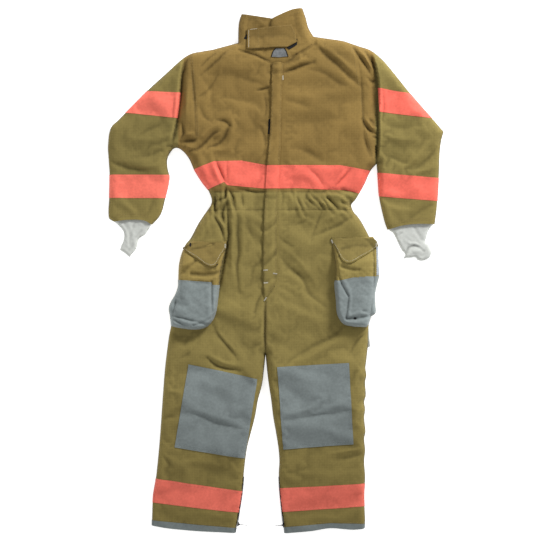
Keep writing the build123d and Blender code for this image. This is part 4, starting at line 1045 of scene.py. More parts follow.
class Surface:
    """Finds where a flat point lies on a made-up cloth surface."""

    def __init__(self, flat, points, tris, normals=None):
        self.flat, self.points, self.tris = flat, points, tris
        self.normals = vertex_normals(points, tris) if normals is None else normals
        self.tree = BVHTree.FromPolygons([(x, y, 0) for x, y in flat], tris.tolist())

    def at(self, places, lift=0.0):
        """Points and normals of the surface over flat places, lifted along the normal."""
        out, up = [], []
        for x, y in np.asarray(places, float)[:, :2]:
            _, _, i, _ = self.tree.find_nearest((x, y, 0))
            a, b, c = self.tris[i]
            m = np.column_stack([self.flat[b] - self.flat[a], self.flat[c] - self.flat[a]])
            u, v = np.linalg.lstsq(m, np.array([x, y]) - self.flat[a], rcond=None)[0]
            u, v = min(max(u, -0.5), 1.5), min(max(v, -0.5), 1.5)
            w = np.array([1 - u - v, u, v])
            out.append(w @ self.points[[a, b, c]])
            n = w @ self.normals[[a, b, c]]
            up.append(n / np.linalg.norm(n))
        out, up = np.array(out), np.array(up)
        return out + lift * up, up


def height_of(surface, flat):
    """The surface's height over flat places."""
    return surface.at(flat)[0][:, 2]


def walled(top, low, tris):
    """A closed form: two sheets with the same triangles, and a wall between their rims."""
    a, b = rim_edges(tris).T
    n = len(top)
    walls = [np.column_stack([b, a, a + n]), np.column_stack([b, a + n, b + n])]
    return np.concatenate([top, low]), np.concatenate([tris, tris[:, ::-1] + n, *walls])


def slab(name, polygon, step, height, thickness, tint, lines=()):
    """A closed sheet of shell cloth: a polygon's mesh at the heights given by height(flat), thickness deep."""
    flat, tris = lattice(polygon, step, lines)
    top = np.column_stack([flat, height(flat)])
    up = vertex_normals(top, tris)
    points, every = walled(top, top - thickness * up, tris)
    colour = np.tile(crease_shade(top, tris)[:, None] * tint(flat), (2, 1))
    o = mesh(name, points, every, SHELL, np.concatenate([flat, flat]), colour)
    size, area = np.ptp(flat, axis=0) * MM, np.abs(turns(flat, tris)).sum() / 2 * MM * MM
    return o, Surface(flat, top, tris, up), {"flat": tuple(map(float, size)), "area": float(area)}


def strips(rows, long, start=0):
    """The triangles of bands that run between rows of points."""
    tris = []
    for row in range(rows - 1):
        i = start + row * long + np.arange(long - 1)
        tris += np.column_stack([i, i + 1, i + long]).tolist()
        tris += np.column_stack([i + 1, i + long + 1, i + long]).tolist()
    return tris


def ribbon(name, paths, surface, width, look, lift=0.5, step=6.0, rise=0.5):
    """Flat strips along lines on a surface, such as piping, tape and seams."""
    points, tris, flat = [], [], []
    for path in paths:
        p = curve(path, step)
        d = np.gradient(p, axis=0)
        side = np.column_stack([-d[:, 1], d[:, 0]]) / np.linalg.norm(d, axis=1, keepdims=True)
        for k in (-1, -0.6, 0.6, 1):
            at, _ = surface.at(p + side * k * width / 2, lift + (rise if abs(k) < 1 else -0.4))
            points.append(at)
            flat.append(p + side * k * width / 2)
        tris += strips(4, len(p), sum(len(q) for q in points) - 4 * len(p))
    return mesh(name, np.concatenate(points), tris, look, np.concatenate(flat))


def stitches(name, paths, surface, look, pitch=6.0, long=4.4, wide=1.3, high=0.5):
    """Rows of thread: each stitch is a small ridge that dips into the cloth at its ends."""
    points, tris, flat = [], [], []
    for path in paths:
        p = curve([(*q[:2], 1) if len(q) > 2 else q for q in path], pitch)
        d = p[1:] - p[:-1]
        size = np.linalg.norm(d, axis=1)
        p, d = p[:-1][size > 1], (d / np.maximum(size, 1e-9)[:, None])[size > 1]
        mid = p + d * pitch / 2
        at, up = surface.at(mid)
        ahead = np.column_stack([d, np.zeros(len(d))])
        ahead -= (ahead * up).sum(1, keepdims=True) * up
        ahead /= np.linalg.norm(ahead, axis=1, keepdims=True)
        across = np.cross(up, ahead)
        start = 6 * (sum(len(q) for q in points) // 6)
        ring = [(-1, 0, -0.25), (0.1, -1, 0.0), (0.1, 1, 0.0), (1, 0, -0.25), (-0.45, 0, 1), (0.45, 0, 1)]
        q = [at + a * long / 2 * ahead + b * wide / 2 * across + (c * high + 0.1) * up for a, b, c in ring]
        q = np.stack(q, 1)
        points.append(q.reshape(-1, 3))
        flat.append(np.repeat(mid, 6, 0))
        for i in range(len(p)):
            k = start + 6 * i
            tris += [(k, k + 1, k + 4), (k + 1, k + 5, k + 4), (k + 1, k + 3, k + 5), (k, k + 4, k + 2),
                     (k + 2, k + 4, k + 5), (k + 2, k + 5, k + 3)]  # fmt: skip
    return mesh(name, np.concatenate(points), tris, look, np.concatenate(flat))


def circle(radius, count):
    """Points round a level circle."""
    turn = np.linspace(0, 2 * math.pi, count, endpoint=False)
    return radius * np.column_stack([np.cos(turn), np.sin(turn), 0 * turn])


def fan(count, start=0):
    """The triangles of a disc: a middle point, and count points round it."""
    return [(start, start + 1 + k, start + 1 + (k + 1) % count) for k in range(count)]


def tube(name, path, radius, look, sides=7, closed_path=False, flatten=1.0):
    """A round cord or wire along 3-D points in mm."""
    p = np.asarray(path, float)
    d = np.roll(p, -1, 0) - np.roll(p, 1, 0) if closed_path else np.gradient(p, axis=0)
    d /= np.linalg.norm(d, axis=1, keepdims=True)
    up = np.tile([0.0, 0.0, 1.0], (len(p), 1))
    up[np.abs(d[:, 2]) > 0.95] = [1.0, 0, 0]
    a = np.cross(d, up)
    a /= np.linalg.norm(a, axis=1, keepdims=True)
    b = np.cross(a, d)
    turn = np.linspace(0, 2 * math.pi, sides, endpoint=False)[None, :, None]
    ring = p[:, None] + radius * (np.cos(turn) * a[:, None] + flatten * np.sin(turn) * b[:, None])
    points, tris, n = ring.reshape(-1, 3), [], len(p)
    for i in range(n if closed_path else n - 1):
        here, ahead = i * sides, (i + 1) % n * sides
        for j in range(sides):
            k = (j + 1) % sides
            tris += [(here + j, ahead + k, here + k), (here + j, ahead + j, ahead + k)]
    if not closed_path:
        for end, order in ((0, 1), (n - 1, -1)):
            pairs = [(j, j + 1)[::order] for j in range(1, sides - 1)]
            tris += [(end * sides, end * sides + j, end * sides + k) for j, k in pairs]
    return mesh(name, points, tris, look)


def pillow(name, outline, step, look, crown, reach, base, low, power, rise, noise, seed, folds, lines=(), tint=None):
    """A closed soft form. Its crown stands over base(flat), and its lower side is at low(flat).

    The crown is full at reach mm from the rim. The rim lies between the two sides, by the share rise.
    """
    ring = closed(outline, step)
    flat, tris = lattice(ring, step, lines)
    share = (1 - (1 - np.clip(distances(flat, ring) / reach, 0, 1)) ** power) ** (1 / power)
    floor_z = low(flat)
    top = base(flat) + crown(flat) * share
    for line, height, width in folds:
        near, _, _ = to_line(flat, curve(line, 4))
        top += height * bell(near, width) * np.minimum(1, share + 0.2)
    top += noise * (0.7 * waves(flat, 45, seed) + 0.35 * waves(flat, 18, seed + 1)) * share
    rim = np.unique(rim_edges(tris))
    n = len(flat)
    under = np.arange(n) + n
    under[rim] = rim
    top[rim] = floor_z[rim] + rise * (base(flat[rim]) + 6 - floor_z[rim])
    over = np.column_stack([flat, top])
    points = np.concatenate([over, np.column_stack([flat, np.minimum(floor_z, top - 0.5)])])
    every = np.concatenate([tris, under[tris[:, ::-1]]])
    used, every = np.unique(every, return_inverse=True)
    flat2 = np.concatenate([flat, flat])[used]
    shade = crease_shade(over, tris)
    colour = np.tile(shade, 2)[used][:, None] * (np.ones((1, 3)) if tint is None else tint(flat2))
    o = mesh(name, points[used], every.reshape(-1, 3), look, flat2, colour)
    face = Surface(flat, over, tris)
    face.shade = shade
    return o, face


def lifted(name, face, polygon, lift, look):
    """A patch made of a surface's own triangles."""
    keep = inside(face.flat[face.tris].mean(1), polygon)
    points, tris, flat, normals = subset(vars(face), keep, lift, SKIRT)
    colour = 1.08 * (0.15 + 0.85 * shade_of(vars(face), keep)[:, None] * np.ones((1, 3)))
    return mesh(name, points, tris, look, flat, colour, normals)


# ------------------------------------------------------------------------------------------------
# Joining pieces to the CAD bodies
# ------------------------------------------------------------------------------------------------
def bend(side, limb):
    """The blend that a limb's cloth has: the two bodies, and where the turn starts and ends, in metres."""
    if limb == "upper_sleeve":
        (px, py), (nx, ny) = ARMHOLE[side]
        ends = [((px + k * SHOULDER_BEND * nx) * MM, (py + k * SHOULDER_BEND * ny) * MM, 0.046) for k in (-1, 1)]
        return ("torso", f"upper_sleeve_{side}", *ends)
    a, b, (start, end) = {
        "forearm": ("upper_sleeve", "forearm", ELBOW_BEND),
        "thigh": ("torso", "thigh", HIP_BEND),
        "shin": ("thigh", "shin", KNEE_BEND),
    }[limb]
    a = a if a == "torso" else f"{a}_{side}"
    return (a, f"{b}_{side}", (0, start * MM, 0.04), (0, end * MM, 0.04))


def attach(o, part):
    """Joins a piece to the part of the garment it belongs to."""
    if part in ("bodice", "seat", "torso"):
        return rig.ride(o, "torso")
    if part == "collar":
        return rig.blend(o, "torso", "collar", (0, 0.692, 0.046), (0, 0.716, 0.046))
    limb, side = part.rsplit("_", 1)
    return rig.blend(o, *bend(side, limb))


def ride_as(o, body, nodes=(), slot=None):
    """Joins a piece to one body, in place of CAD nodes."""
    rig.ride(o, body)
    if nodes:
        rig.replaces(o, *nodes)
    if slot:
        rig.slot(o, slot)
    return o


def sew(name, lines, surface, look, body, pitch=5.0, long=3.9, wide=1.2, high=0.9):
    """Rows of stitches that ride on one body."""
    return ride_as(stitches(name, lines, surface, look, pitch, long, wide, high), body)


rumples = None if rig.quick() else rumpled()
shell = shells(5.0, rumples)
shell["normals"] = vertex_normals(shell["points"], shell["tris"])
front_tris = shell["tris"][shell["front"]]
FRONT = Surface(shell["flat"], shell["points"], front_tris, shell["normals"])
BACK = Surface(shell["flat"], shell["points"], shell["tris"][~shell["front"]], shell["normals"])
tint = tone(shell["flat"]) * shell["shade"][:, None]
centre = shell["flat"][shell["tris"]].mean(1)
flat_area = np.abs(turns(shell["flat"], shell["tris"])) / 2

REPLACED = {
    "bodice": ["bodice_back", "bodice_front_right", "bodice_front_left"],
    "seat": ["seat_back", "seat_front_right", "seat_front_left"],
}
pieces_on = {part: [] for part in PARTS}
shell_of = {}
for number, part in enumerate(PARTS):
    keep = shell["part"] == number
    points, tris, flat, normals = subset(shell, keep)
    o = mesh(f"{part}_shell", points, tris, SHELL, flat, tint[np.unique(shell["tris"][keep])], normals)
    attach(o, part)
    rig.replaces(o, *REPLACED.get(part, [part]))
    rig.slot(o, "shell_fabric")
    shell_of[part] = (o, np.ptp(flat, axis=0) * MM, flat_area[keep].sum() * MM * MM)


def overlay(name, polygon, part, look, slot, nodes, lift=0.9, faces=(True, False), also=()):
    """Cloth or leather sewn onto the shell: its own triangles lifted off it."""
    numbers = [PARTS.index(p) for p in (part, *also)]
    keep = np.isin(shell["part"], numbers) & np.isin(shell["front"], faces) & inside(centre, polygon)
    points, tris, flat, normals = subset(shell, keep, lift, SKIRT)
    shade = shade_of(shell, keep) * (1 + 0.03 * waves(flat, 80, 31))
    if look is SHELL:
        rgb = tone(flat) * shade[:, None]
    else:
        low = 1 - 0.27 * smoothstep(-250, -760, flat[:, 1])
        rgb = np.tile(((0.3 + 0.7 * shade) * low)[:, None], (1, 3))
    if look is TRIM:
        rgb *= 1 + np.array([0.02, 0.16, 0.15]) * ((flat[:, :1] < -305) | (flat[:, 1:] < -600))
    o = mesh(name, points, tris, look, flat, rgb, normals)
    attach(o, part)
    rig.replaces(o, *nodes)
    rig.slot(o, slot)
    pieces_on[part].append(o)


overlay("chest_trim_band", CHEST_TRIM, "bodice", TRIM, "fluorescent_trim", ["chest_trim"])
overlay("waistband_casing", WAISTBAND, "bodice", SHELL, "shell_fabric", ["waistband", "waist_elastic"], 0.7,
        also=["seat"])  # fmt: skip
for side in ("right", "left"):
    for limb in ("upper_sleeve", "forearm"):
        node = f"{limb}_trim_{side}"
        overlay(f"{node}_band", BANDS[node], f"{limb}_{side}", TRIM, "fluorescent_trim", [node])
    overlay(f"leg_trim_{side}_band", BANDS[f"leg_trim_{side}"], f"shin_{side}", TRIM, "fluorescent_trim",
            [f"leg_trim_{side}"])  # fmt: skip
    overlay(f"hem_guard_{side}_band", BANDS[f"hem_guard_{side}"], f"shin_{side}", SUEDE, "pocket_leather",
            [f"hem_guard_{side}"], 1.0)  # fmt: skip
    overlay(f"knee_patch_{side}", BANDS[f"knee_patch_{side}"], f"shin_{side}", SUEDE, "knee_suede",
            [f"knee_patch_upper_{side}", f"knee_patch_lower_{side}"], 1.8, (True,), [f"thigh_{side}"])  # fmt: skip

# liner, seen inside the mouths
inner = shells(15.0, rumples, 5.0)
# it stays under the deepest creases of the shell around each point
LINER_GAP, LINER_LOWEST, NEIGHBOURS = 3, 5, 24
front_points = shell["points"][np.unique(front_tris)]
near = tree_of(front_points)
for i in np.unique(inner["tris"][inner["front"]]):
    under = min(front_points[j, 2] for _, j, _ in near.find_n((*inner["points"][i, :2], 0), NEIGHBOURS))
    inner["points"][i, 2] = min(inner["points"][i, 2], max(under - LINER_GAP, LINER_LOWEST))
inner["normals"] = vertex_normals(inner["points"], inner["tris"])
LINER_NODES = {
    "bodice": ["body_liner"], "upper_sleeve": ["upper_sleeve_liner"], "forearm": ["forearm_liner"],
    "thigh": ["thigh_liner"], "shin": ["shin_liner"], "seat": [], "collar": [],
}  # fmt: skip
for number, part in enumerate(PARTS):
    points, tris, flat, normals = subset(inner, inner["part"] == number)
    limb = part.replace("_right", "").replace("_left", "")
    # the liner stops short of each mouth
    mouth = {"forearm": (flat[:, 1] < 176), "shin": (flat[:, 1] < -790), "collar": (flat[:, 1] > 792)}.get(limb)
    if mouth is not None:
        points[mouth, 1] += -8 if limb == "collar" else 10
    o = mesh(f"{part}_liner_cloth", points, tris, LINER, flat, None, normals)
    attach(o, part)
    suffix = part[len(limb):]
    if LINER_NODES[limb]:
        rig.replaces(o, *[n + suffix for n in LINER_NODES[limb]])
    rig.slot(o, "quilted_liner")
    pieces_on[part].append(o)

# ------------------------------------------------------------------------------------------------
# Storm flap, placket, neck and collar
# ------------------------------------------------------------------------------------------------
STORM = [
    (-15, 660), (6, 663), (23, 660), (20, 613), (16, 500), (14, 400), (8, 300), (2, 190), (1, 100), (2, 40),
    (3, -4), (-3, -34), (-16, -62), (-38, -88), (-41, -40), (-42, 0), (-42, 100), (-38, 200), (-30, 333),
    (-22, 430), (-17, 540),
]  # fmt: skip
STORM_CREASES = [
    ([(-40, 128), (-10, 148), (8, 165)], -3.0, 6), ([(-40, 148), (-12, 168), (6, 184)], 2.4, 7),
    ([(-40, 20), (-15, 45), (4, 68)], -3.0, 6), ([(-40, 40), (-20, 62), (0, 84)], 2.2, 8),
    ([(-36, -34), (0, -12)], -2, 6), ([(-40, 240), (-14, 232), (6, 240)], -2.5, 6),
    ([(-18, 640), (4, 630), (22, 636)], -2.2, 8), ([(-30, 345), (-8, 352), (10, 346)], 1.5, 10),
]  # fmt: skip


def storm_height(flat):
    """The flap lies over the zip: low where it's sewn on, and with a soft curl at its free edge."""
    base = height_of(FRONT, flat)
    far, _, _ = to_line(flat, [(23, 665), (15, 400), (2, 190), (1, 100), (3, -4), (-3, -34), (-38, -88)])
    free, _, along = to_line(flat, [(-15, 660), (-22, 430), (-30, 333), (-38, 200), (-42, 100), (-42, -88)])
    lift = 2.6 + 5.2 * smoothstep(0, 16, far)
    lift -= 1.6 * smoothstep(8, 0, free) * (0.5 + 0.5 * np.cos(along * 25))
    creases = 0.0
    for line, height, width in STORM_CREASES:
        near, _, _ = to_line(flat, curve(line, 5))
        creases = creases + height * bell(near, width)
    over_slider = 5.5 * bell(flat[:, 0] - 6, 14) * bell(flat[:, 1] - 640, 26)
    creases = creases * smoothstep(0, 14, far)
    return np.maximum(base, 37) * 0.5 + base * 0.5 + lift + over_slider + creases + 0.5 * waves(flat, 40, 41)


STORM_CORNERS = (0, 2, 13)
STORM_BAND = [(-60, 337), (40, 338), (40, 265), (-60, 263)]
storm, STORM_TOP, storm_cut = slab(
    "storm_flap_cloth", closed([(*q, 1) if i in STORM_CORNERS else q for i, q in enumerate(STORM)], 6),
    5.0, storm_height, 3.2, tone, [STORM_BAND[:2], STORM_BAND[:1:-1]],
)  # fmt: skip
ride_as(storm, "storm_flap", ["storm_flap"], "shell_fabric")
keep = inside(STORM_TOP.flat[STORM_TOP.tris].mean(1), STORM_BAND)
points, tris, flat, normals = subset(vars(STORM_TOP), keep, 0.8, SKIRT)
storm_trim = mesh("storm_flap_trim_band", points, tris, TRIM, flat, None, normals)
ride_as(storm_trim, "storm_flap", ["storm_flap_trim"], "fluorescent_trim")


# hook tape on the right front, under the flap's free edge
HOOK_STRIPS = [[(-9, 645), (-10, 560)], [(-21, 482), (-23, 436)], [(-32, 120), (-32, 0)]]
hook = ribbon("placket_hook_strips", HOOK_STRIPS, FRONT, 9, TAPE, 0.6, 6, 0.9)
ride_as(hook, "torso", ["placket_hook_tape"], "hook_tape")

# main zip, under the flap: two tapes and their teeth
ZIP_LEAN, ZIP_FOOT = 0.0332, -15


def beside_zip(offset, *heights):
    """A line at one side of the main zip's middle."""
    return [(ZIP_FOOT + ZIP_LEAN * y + offset, y) for y in heights]


zip_edges = [beside_zip(offset, 640, 400, 100, -48) for offset in (-6, 6)]
zip_tapes = ribbon("main_zip_tapes", zip_edges, FRONT, 9, TAPE, 0.3, 12, 0.3)
zip_rows = [beside_zip(offset, 640, -46) for offset in (-1.6, 1.6)]
zip_teeth = stitches("main_zip_teeth", zip_rows, FRONT, TEETH, 4.2, 2.6, 2.6, 1.6)
ride_as(zip_tapes, "torso", ["main_zip_chain"], "zip_tape")
ride_as(zip_teeth, "torso", [], "zip_tape")

# ------------------------------------------------------------------------------------------------
# Throat tab, neck label and hanger loop
# ------------------------------------------------------------------------------------------------
TAB = [
    (-94, 768), (-60, 771), (-20, 776), (20, 780), (47, 783), (56, 764), (62, 748), (63, 733), (66, 729), (48, 718),
    (34, 711), (0, 710), (-40, 707), (-93, 704),
]  # fmt: skip
TAB_ROWS = [[(-88, 765), (-88, 709)], [(-84, 767), (-62, 769)]]
TAB_EDGE_ROWS = [
    [(-58, 768), (-58, 709)], [(-86, 712), (0, 714), (32, 716)],
    [(-60, 767), (44, 778), (52, 762), (58, 742), (60, 732)],
]  # fmt: skip


def tab_height(flat):
    """The tab lies on the collar, and stands off it along its lower edge."""
    base = np.maximum(height_of(FRONT, flat), 30)
    curl = 3.5 * smoothstep(770, 712, flat[:, 1])
    return base + 4.5 + 1.2 * np.cos((flat[:, 0] + 20) / 26) + 0.5 * waves(flat, 60, 51) + curl


def tab_tone(flat):
    return 0.88 * tone(flat)


tab_outline = closed([(*q, 1) for q in TAB], 6)
tab, TAB_TOP, tab_cut = slab("throat_tab_cloth", tab_outline, 5.0, tab_height, 3.6, tab_tone)
ride_as(tab, "throat_tab", ["throat_tab"], "shell_fabric")
tab_rows = sew("throat_tab_rows", TAB_ROWS, TAB_TOP, THREAD, "throat_tab", 4, 4.4, 1.3, 0.4)
tab_edge_rows = sew("throat_tab_edge_rows", TAB_EDGE_ROWS, TAB_TOP, TAN_THREAD, "throat_tab", 5, 3.8, 1.0, 0.4)

# hook tape that shows at the collar's two ends
HOOK_PATCHES = [[(28, 712), (66, 738), (64, 718), (40, 702)], [(-103, 738), (-90, 762), (-90, 733)]]
points, faces = [], []
for outline in HOOK_PATCHES:
    flat, tris = lattice(outline, 5.0)
    faces.append(tris + sum(map(len, points)))
    points.append(flat)
flat = np.concatenate(points)
patches = mesh("collar_hook_patches", FRONT.at(flat, 1.6)[0], np.concatenate(faces), TAPE, flat)
attach(patches, "collar")
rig.replaces(patches, "collar_hook_tape")
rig.slot(patches, "hook_tape")

LABEL_OUTLINE = [(-17, 680), (-10, 697), (-2, 706), (24, 706), (30, 697), (35, 681), (8, 678)]
LABEL_EDGES = [[(-17, 679, 1), (-11, 697, 1), (-3, 706, 1)], [(24, 706), (30, 697), (36, 680)]]
flat, tris = lattice(LABEL_OUTLINE, 4.0)
label = mesh("neck_label_cloth", FRONT.at(flat, 2.0)[0], tris, LABEL, flat)
ride_as(label, "torso", ["neck_label"], "label")
ride_as(ribbon("neck_label_edge", LABEL_EDGES, FRONT, 3.0, TAPE, 2.2, 3, 0.4), "torso")

LOOP_ARCH = [(-28, 0), (-26.5, 3), (-21, 8), (-9, 10.4), (9, 10.4), (21, 8), (26.5, 3), (28, 0)]
loop_low = np.array(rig.box("hanger_loop")[0]) / MM
arch = [(x, loop_low[1] + 6, loop_low[2] + 0.9 + z) for x, z in curve(LOOP_ARCH, 3)]
loop = tube("hanger_loop_webbing", arch, 5.9, TAPE, 16, flatten=0.13)
ride_as(loop, "torso", ["hanger_loop"], "webbing")

# ------------------------------------------------------------------------------------------------
# Bellows pockets, their guards and flaps
# ------------------------------------------------------------------------------------------------
# hinge is the y of the flap's fold, and tacks and spots are bar tacks and the corners of hook tape
POCKETS = {
    "right": {
        "hinge": 94, "olive": 0.6, "flap_shade": 0.72,
        "crease": ([(-268, 72), (-236, 78), (-200, 88)], -3.0, 4),
        "bag": [
            (-266, 97), (-282, 86), (-297, 70, 1), (-304, 50), (-310, 20), (-312, -25), (-312, -45),
            (-321, -72), (-335, -96), (-341, -116), (-337, -142), (-334, -170, 1), (-300, -177), (-257, -181),
            (-224, -174), (-203, -153), (-191, -124), (-186, -90), (-181, -45), (-178, -8), (-171, 30),
            (-163, 62), (-158, 96, 1),
        ],
        "guard": [
            (-360, -23), (-310, -25), (-205, -32), (-202, -40), (-150, -43), (-150, -220), (-360, -220),
        ],
        "flap": [
            (-298, 76, 1), (-270, 54), (-250, 42), (-226, 24), (-206, 16), (-191, 20), (-182, 34), (-172, 54),
            (-160, 73), (-158, 92, 1), (-210, 94), (-268, 91), (-284, 84, 1),
        ],
        "folds": [
            ([(-268, -6), (-235, -9), (-188, -5)], -7, 7), ([(-262, -20), (-210, -23)], 3, 8),
            ([(-300, -5), (-280, 12), (-256, 34)], -4, 7), ([(-296, 20), (-270, 34)], 3, 8),
            ([(-204, -30), (-203, -90), (-200, -150)], -4.6, 3.2), ([(-214, -60), (-212, -140)], 2, 8),
            ([(-338, -134), (-300, -145), (-234, -157), (-196, -137)], -4.4, 4),
            ([(-330, -148), (-300, -163), (-274, -176)], -5, 4.2),
            ([(-300, -152), (-262, -160), (-220, -152)], 3, 7),
            ([(-262, -168), (-240, -162), (-212, -168)], -5, 4.2), ([(-312, -100), (-285, -102)], -3, 10),
            ([(-315, -60), (-300, -85)], -3, 8), ([(-325, -118), (-290, -126)], 3, 10),
            ([(-196, 10), (-185, 24)], -4, 5),
        ],
        "rows": [[
            (-292, 76), (-268, 59), (-248, 47), (-224, 29), (-206, 22), (-194, 26), (-186, 39), (-176, 58),
            (-165, 74),
        ]],
        "tacks": [(-162, 82, 0)],
        "spots": [(-272, 86, 3.0, 7.0), (-187, 22, 2.4, 4.0)],
    },
    "left": {
        "hinge": 106, "olive": 0.95, "flap_shade": 0.76,
        "crease": ([(205, 74), (250, 84), (290, 82)], -2.0, 6),
        "bag": [
            (172, 108, 1), (178, 78), (184, 40), (188, 0), (185, -26), (183, -36), (188, -90), (191, -128),
            (200, -150), (213, -164), (240, -171), (283, -173, 1), (291, -165), (298, -141, 1), (313, -130),
            (313, -108), (312, -70), (318, -40), (325, -10), (323, 30), (322, 84, 1), (306, 112, 1),
        ],
        "guard": [
            (150, -27), (200, -27), (216, -23), (242, -17), (350, -11), (350, -220), (150, -220),
        ],
        "flap": [
            (170, 105, 1), (186, 79), (198, 52), (208, 35), (224, 28), (240, 31), (266, 46), (300, 66),
            (321, 82, 1), (315, 99), (303, 107, 1), (250, 107), (200, 106),
        ],
        "folds": [
            ([(180, 70), (188, 20), (202, -32), (226, -76)], -4.6, 3.4),
            ([(227, -82), (224, -110), (220, -140)], -4, 3.2),
            ([(214, -30), (228, -60), (231, -90), (227, -138)], 3, 6), ([(204, 18), (230, 8), (258, 6)], -4, 6),
            ([(219, -146), (250, -146), (292, -138)], -6, 6), ([(232, -136), (262, -128), (286, -132)], 3, 7),
            ([(272, -122), (292, -130)], -3, 4), ([(222, 26), (246, 20)], 2, 8),
            ([(262, 20), (300, 40)], 2, 14), ([(214, -158), (250, -160)], 2, 6),
        ],
        "rows": [[
            (176, 98), (190, 77), (202, 53), (212, 40), (225, 34), (240, 37), (264, 51), (298, 70), (314, 82),
        ]],
        "tacks": [(174, 95, 0), (315, 84, 0)],
        "spots": [(196, 50, 2.2, 5.0)],
    },
}  # fmt: skip
BAG_FULLNESS, FLAP_LOWEST, FLAP_HIGHEST = 39, 43, 88.5
EDGE_TAPE = [(315, 84), (340, 84), (340, -9), (316, -9)]
EYELET, SPOT_CORNERS, HOLE_CORNERS = (247, -146), 12, 16


def under_pocket(flat):
    """The shell's top below a pocket, also where the pocket stands out past the shell."""
    return np.maximum(height_of(FRONT, flat), 3)


def bag_floor(flat):
    return under_pocket(flat) + 0.4


def bag_base(flat):
    """Between the shell, which is uneven, and a level plane."""
    return 0.45 * under_pocket(flat) + 0.55 * 34


def bag_crown(pocket, flat):
    """The bellows are shallow at the flap's fold, and deep below it."""
    return BAG_FULLNESS * (0.14 + 0.86 * smoothstep(pocket["hinge"] + 2, pocket["hinge"] - 80, flat[:, 1]))


def bag_tone(pocket, flat):
    """A pocket is a little paler than the shell, and less olive."""
    return 1.14 * (1 - pocket["olive"] + pocket["olive"] * tone(flat))


def flap_tone(pocket, flat):
    return pocket["flap_shade"] * bag_tone(pocket, flat)


def flap_height(pocket, face, flat):
    """The flap lies on the bellows, and stands off a little towards its free edge."""
    hinge, (line, height, width) = pocket["hinge"], pocket["crease"]
    rise = height_of(face, flat) + 2.8 + 2.2 * smoothstep(hinge, hinge - 60, flat[:, 1]) + 0.5 * waves(flat, 50, 71)
    return np.clip(rise + height * bell(to_line(flat, line)[0], width), FLAP_LOWEST, FLAP_HIGHEST)


def bar_tacks(name, places, surface, body, gap, high):
    """Short bars of three rows of thread, each turned by its own angle."""
    lines = []
    for x, y, angle in places:
        along = np.array([math.sin(angle), math.cos(angle)])
        side = np.array([along[1], -along[0]])
        for k in (-1, 0, 1):
            middle = np.array([x, y]) + side * k * gap
            lines.append([tuple(middle - along * 7), tuple(middle + along * 7)])
    return sew(name, lines, surface, THREAD, body, 3.5, 4.0, 1.6, high)


for side, pocket in POCKETS.items():
    right, body, guard_edge = side == "right", f"pocket_flap_{side}", pocket["guard"][:4]
    bag, face = pillow(
        f"pocket_bag_{side}", pocket["bag"], 3.6, SHELL, partial(bag_crown, pocket), 15.0, bag_base, bag_floor,
        power=2.4, rise=0.35, noise=0.6, seed=61 + len(side), folds=pocket["folds"],
        lines=list(zip(guard_edge, guard_edge[1:])), tint=partial(bag_tone, pocket),
    )  # fmt: skip
    ride_as(bag, "torso", ["pocket_bags"] if right else [], "shell_fabric")
    guard = lifted(f"pocket_guard_{side}", face, pocket["guard"], 1.1, SUEDE)
    ride_as(guard, "torso", ["pocket_guards"] if right else [], "pocket_leather")
    flap, flap_face, flap_cut = slab(
        f"{body}_cloth", closed(pocket["flap"], 4.5), 4.5, partial(flap_height, pocket, face), 3.0,
        partial(flap_tone, pocket),
    )  # fmt: skip
    ride_as(flap, body, [body], "shell_fabric")
    rows = sew(f"{body}_rows", pocket["rows"], flap_face, THREAD, body, 5, 4.2, 1.0, 0.4)
    tacks = bar_tacks(f"{body}_tacks", pocket["tacks"], flap_face, body, 1.5, 1.0)
    for name, look, inset, high in (("guard", DARK_THREAD, -4, 1.9), ("bag", TAN_THREAD, 2, 0.7)):
        line = [(x, y + inset) for x, y in guard_edge[1:]]
        sew(f"pocket_{name}_{side}_rows", [line], face, look, "torso", 4.5, 3.6, 1.0, high)
    pocket["face"] = face
    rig.sheet(flap, held="laid", rests_on=[f"pocket_bag_{side}"], with_pieces=[rows, tacks], **flap_cut)
    discs = []
    for x, y, wide, long in pocket["spots"]:
        discs += [np.array([(x, y)]), (x, y) + circle(1, SPOT_CORNERS)[:, :2] * (wide, long)]
    flat = np.concatenate(discs)
    tris = sum((fan(SPOT_CORNERS, start) for start in range(0, len(flat), SPOT_CORNERS + 1)), [])
    spots = mesh(f"{body}_hook_corners", flap_face.at(flat, 0.7)[0], tris, TAPE, flat)
    ride_as(spots, body, [], "hook_tape")

# eyelet and edge tape of the left pocket
left_face = POCKETS["left"]["face"]
at, up = left_face.at([EYELET], 1.3)
eyelet = tube("pocket_eyelet", at + 1.2 * up + circle(3.4, 20), 1.2, METAL, 8, True)
ride_as(eyelet, "torso", [], "zip_metal")
# the eyelet's hole is a black disc: painted shade down in the hole
disc = np.concatenate([at + up, at + up + circle(3.2, HOLE_CORNERS)])
ride_as(mesh("pocket_eyelet_hole", disc, fan(HOLE_CORNERS), TAPE), "torso")
ride_as(lifted("pocket_left_edge_tape", left_face, EDGE_TAPE, 0.8, REFLECTIVE), "torso")

# tab of pale tape at the left hip, below the pocket
flat, tris = lattice([(284, -172), (292, -176), (297, -236), (289, -240)], 5.0)
at = np.column_stack([flat, 7 + 0.2 * flat[:, 0] - 0.2 * 284 + 2 * np.sin(flat[:, 1] / 12)])
points, every = walled(at, at - [0, 0, 1.2], tris)
side_tab = mesh("side_tab_tape", points, every, KNIT, np.concatenate([flat, flat]))
ride_as(side_tab, "torso", [], "webbing")

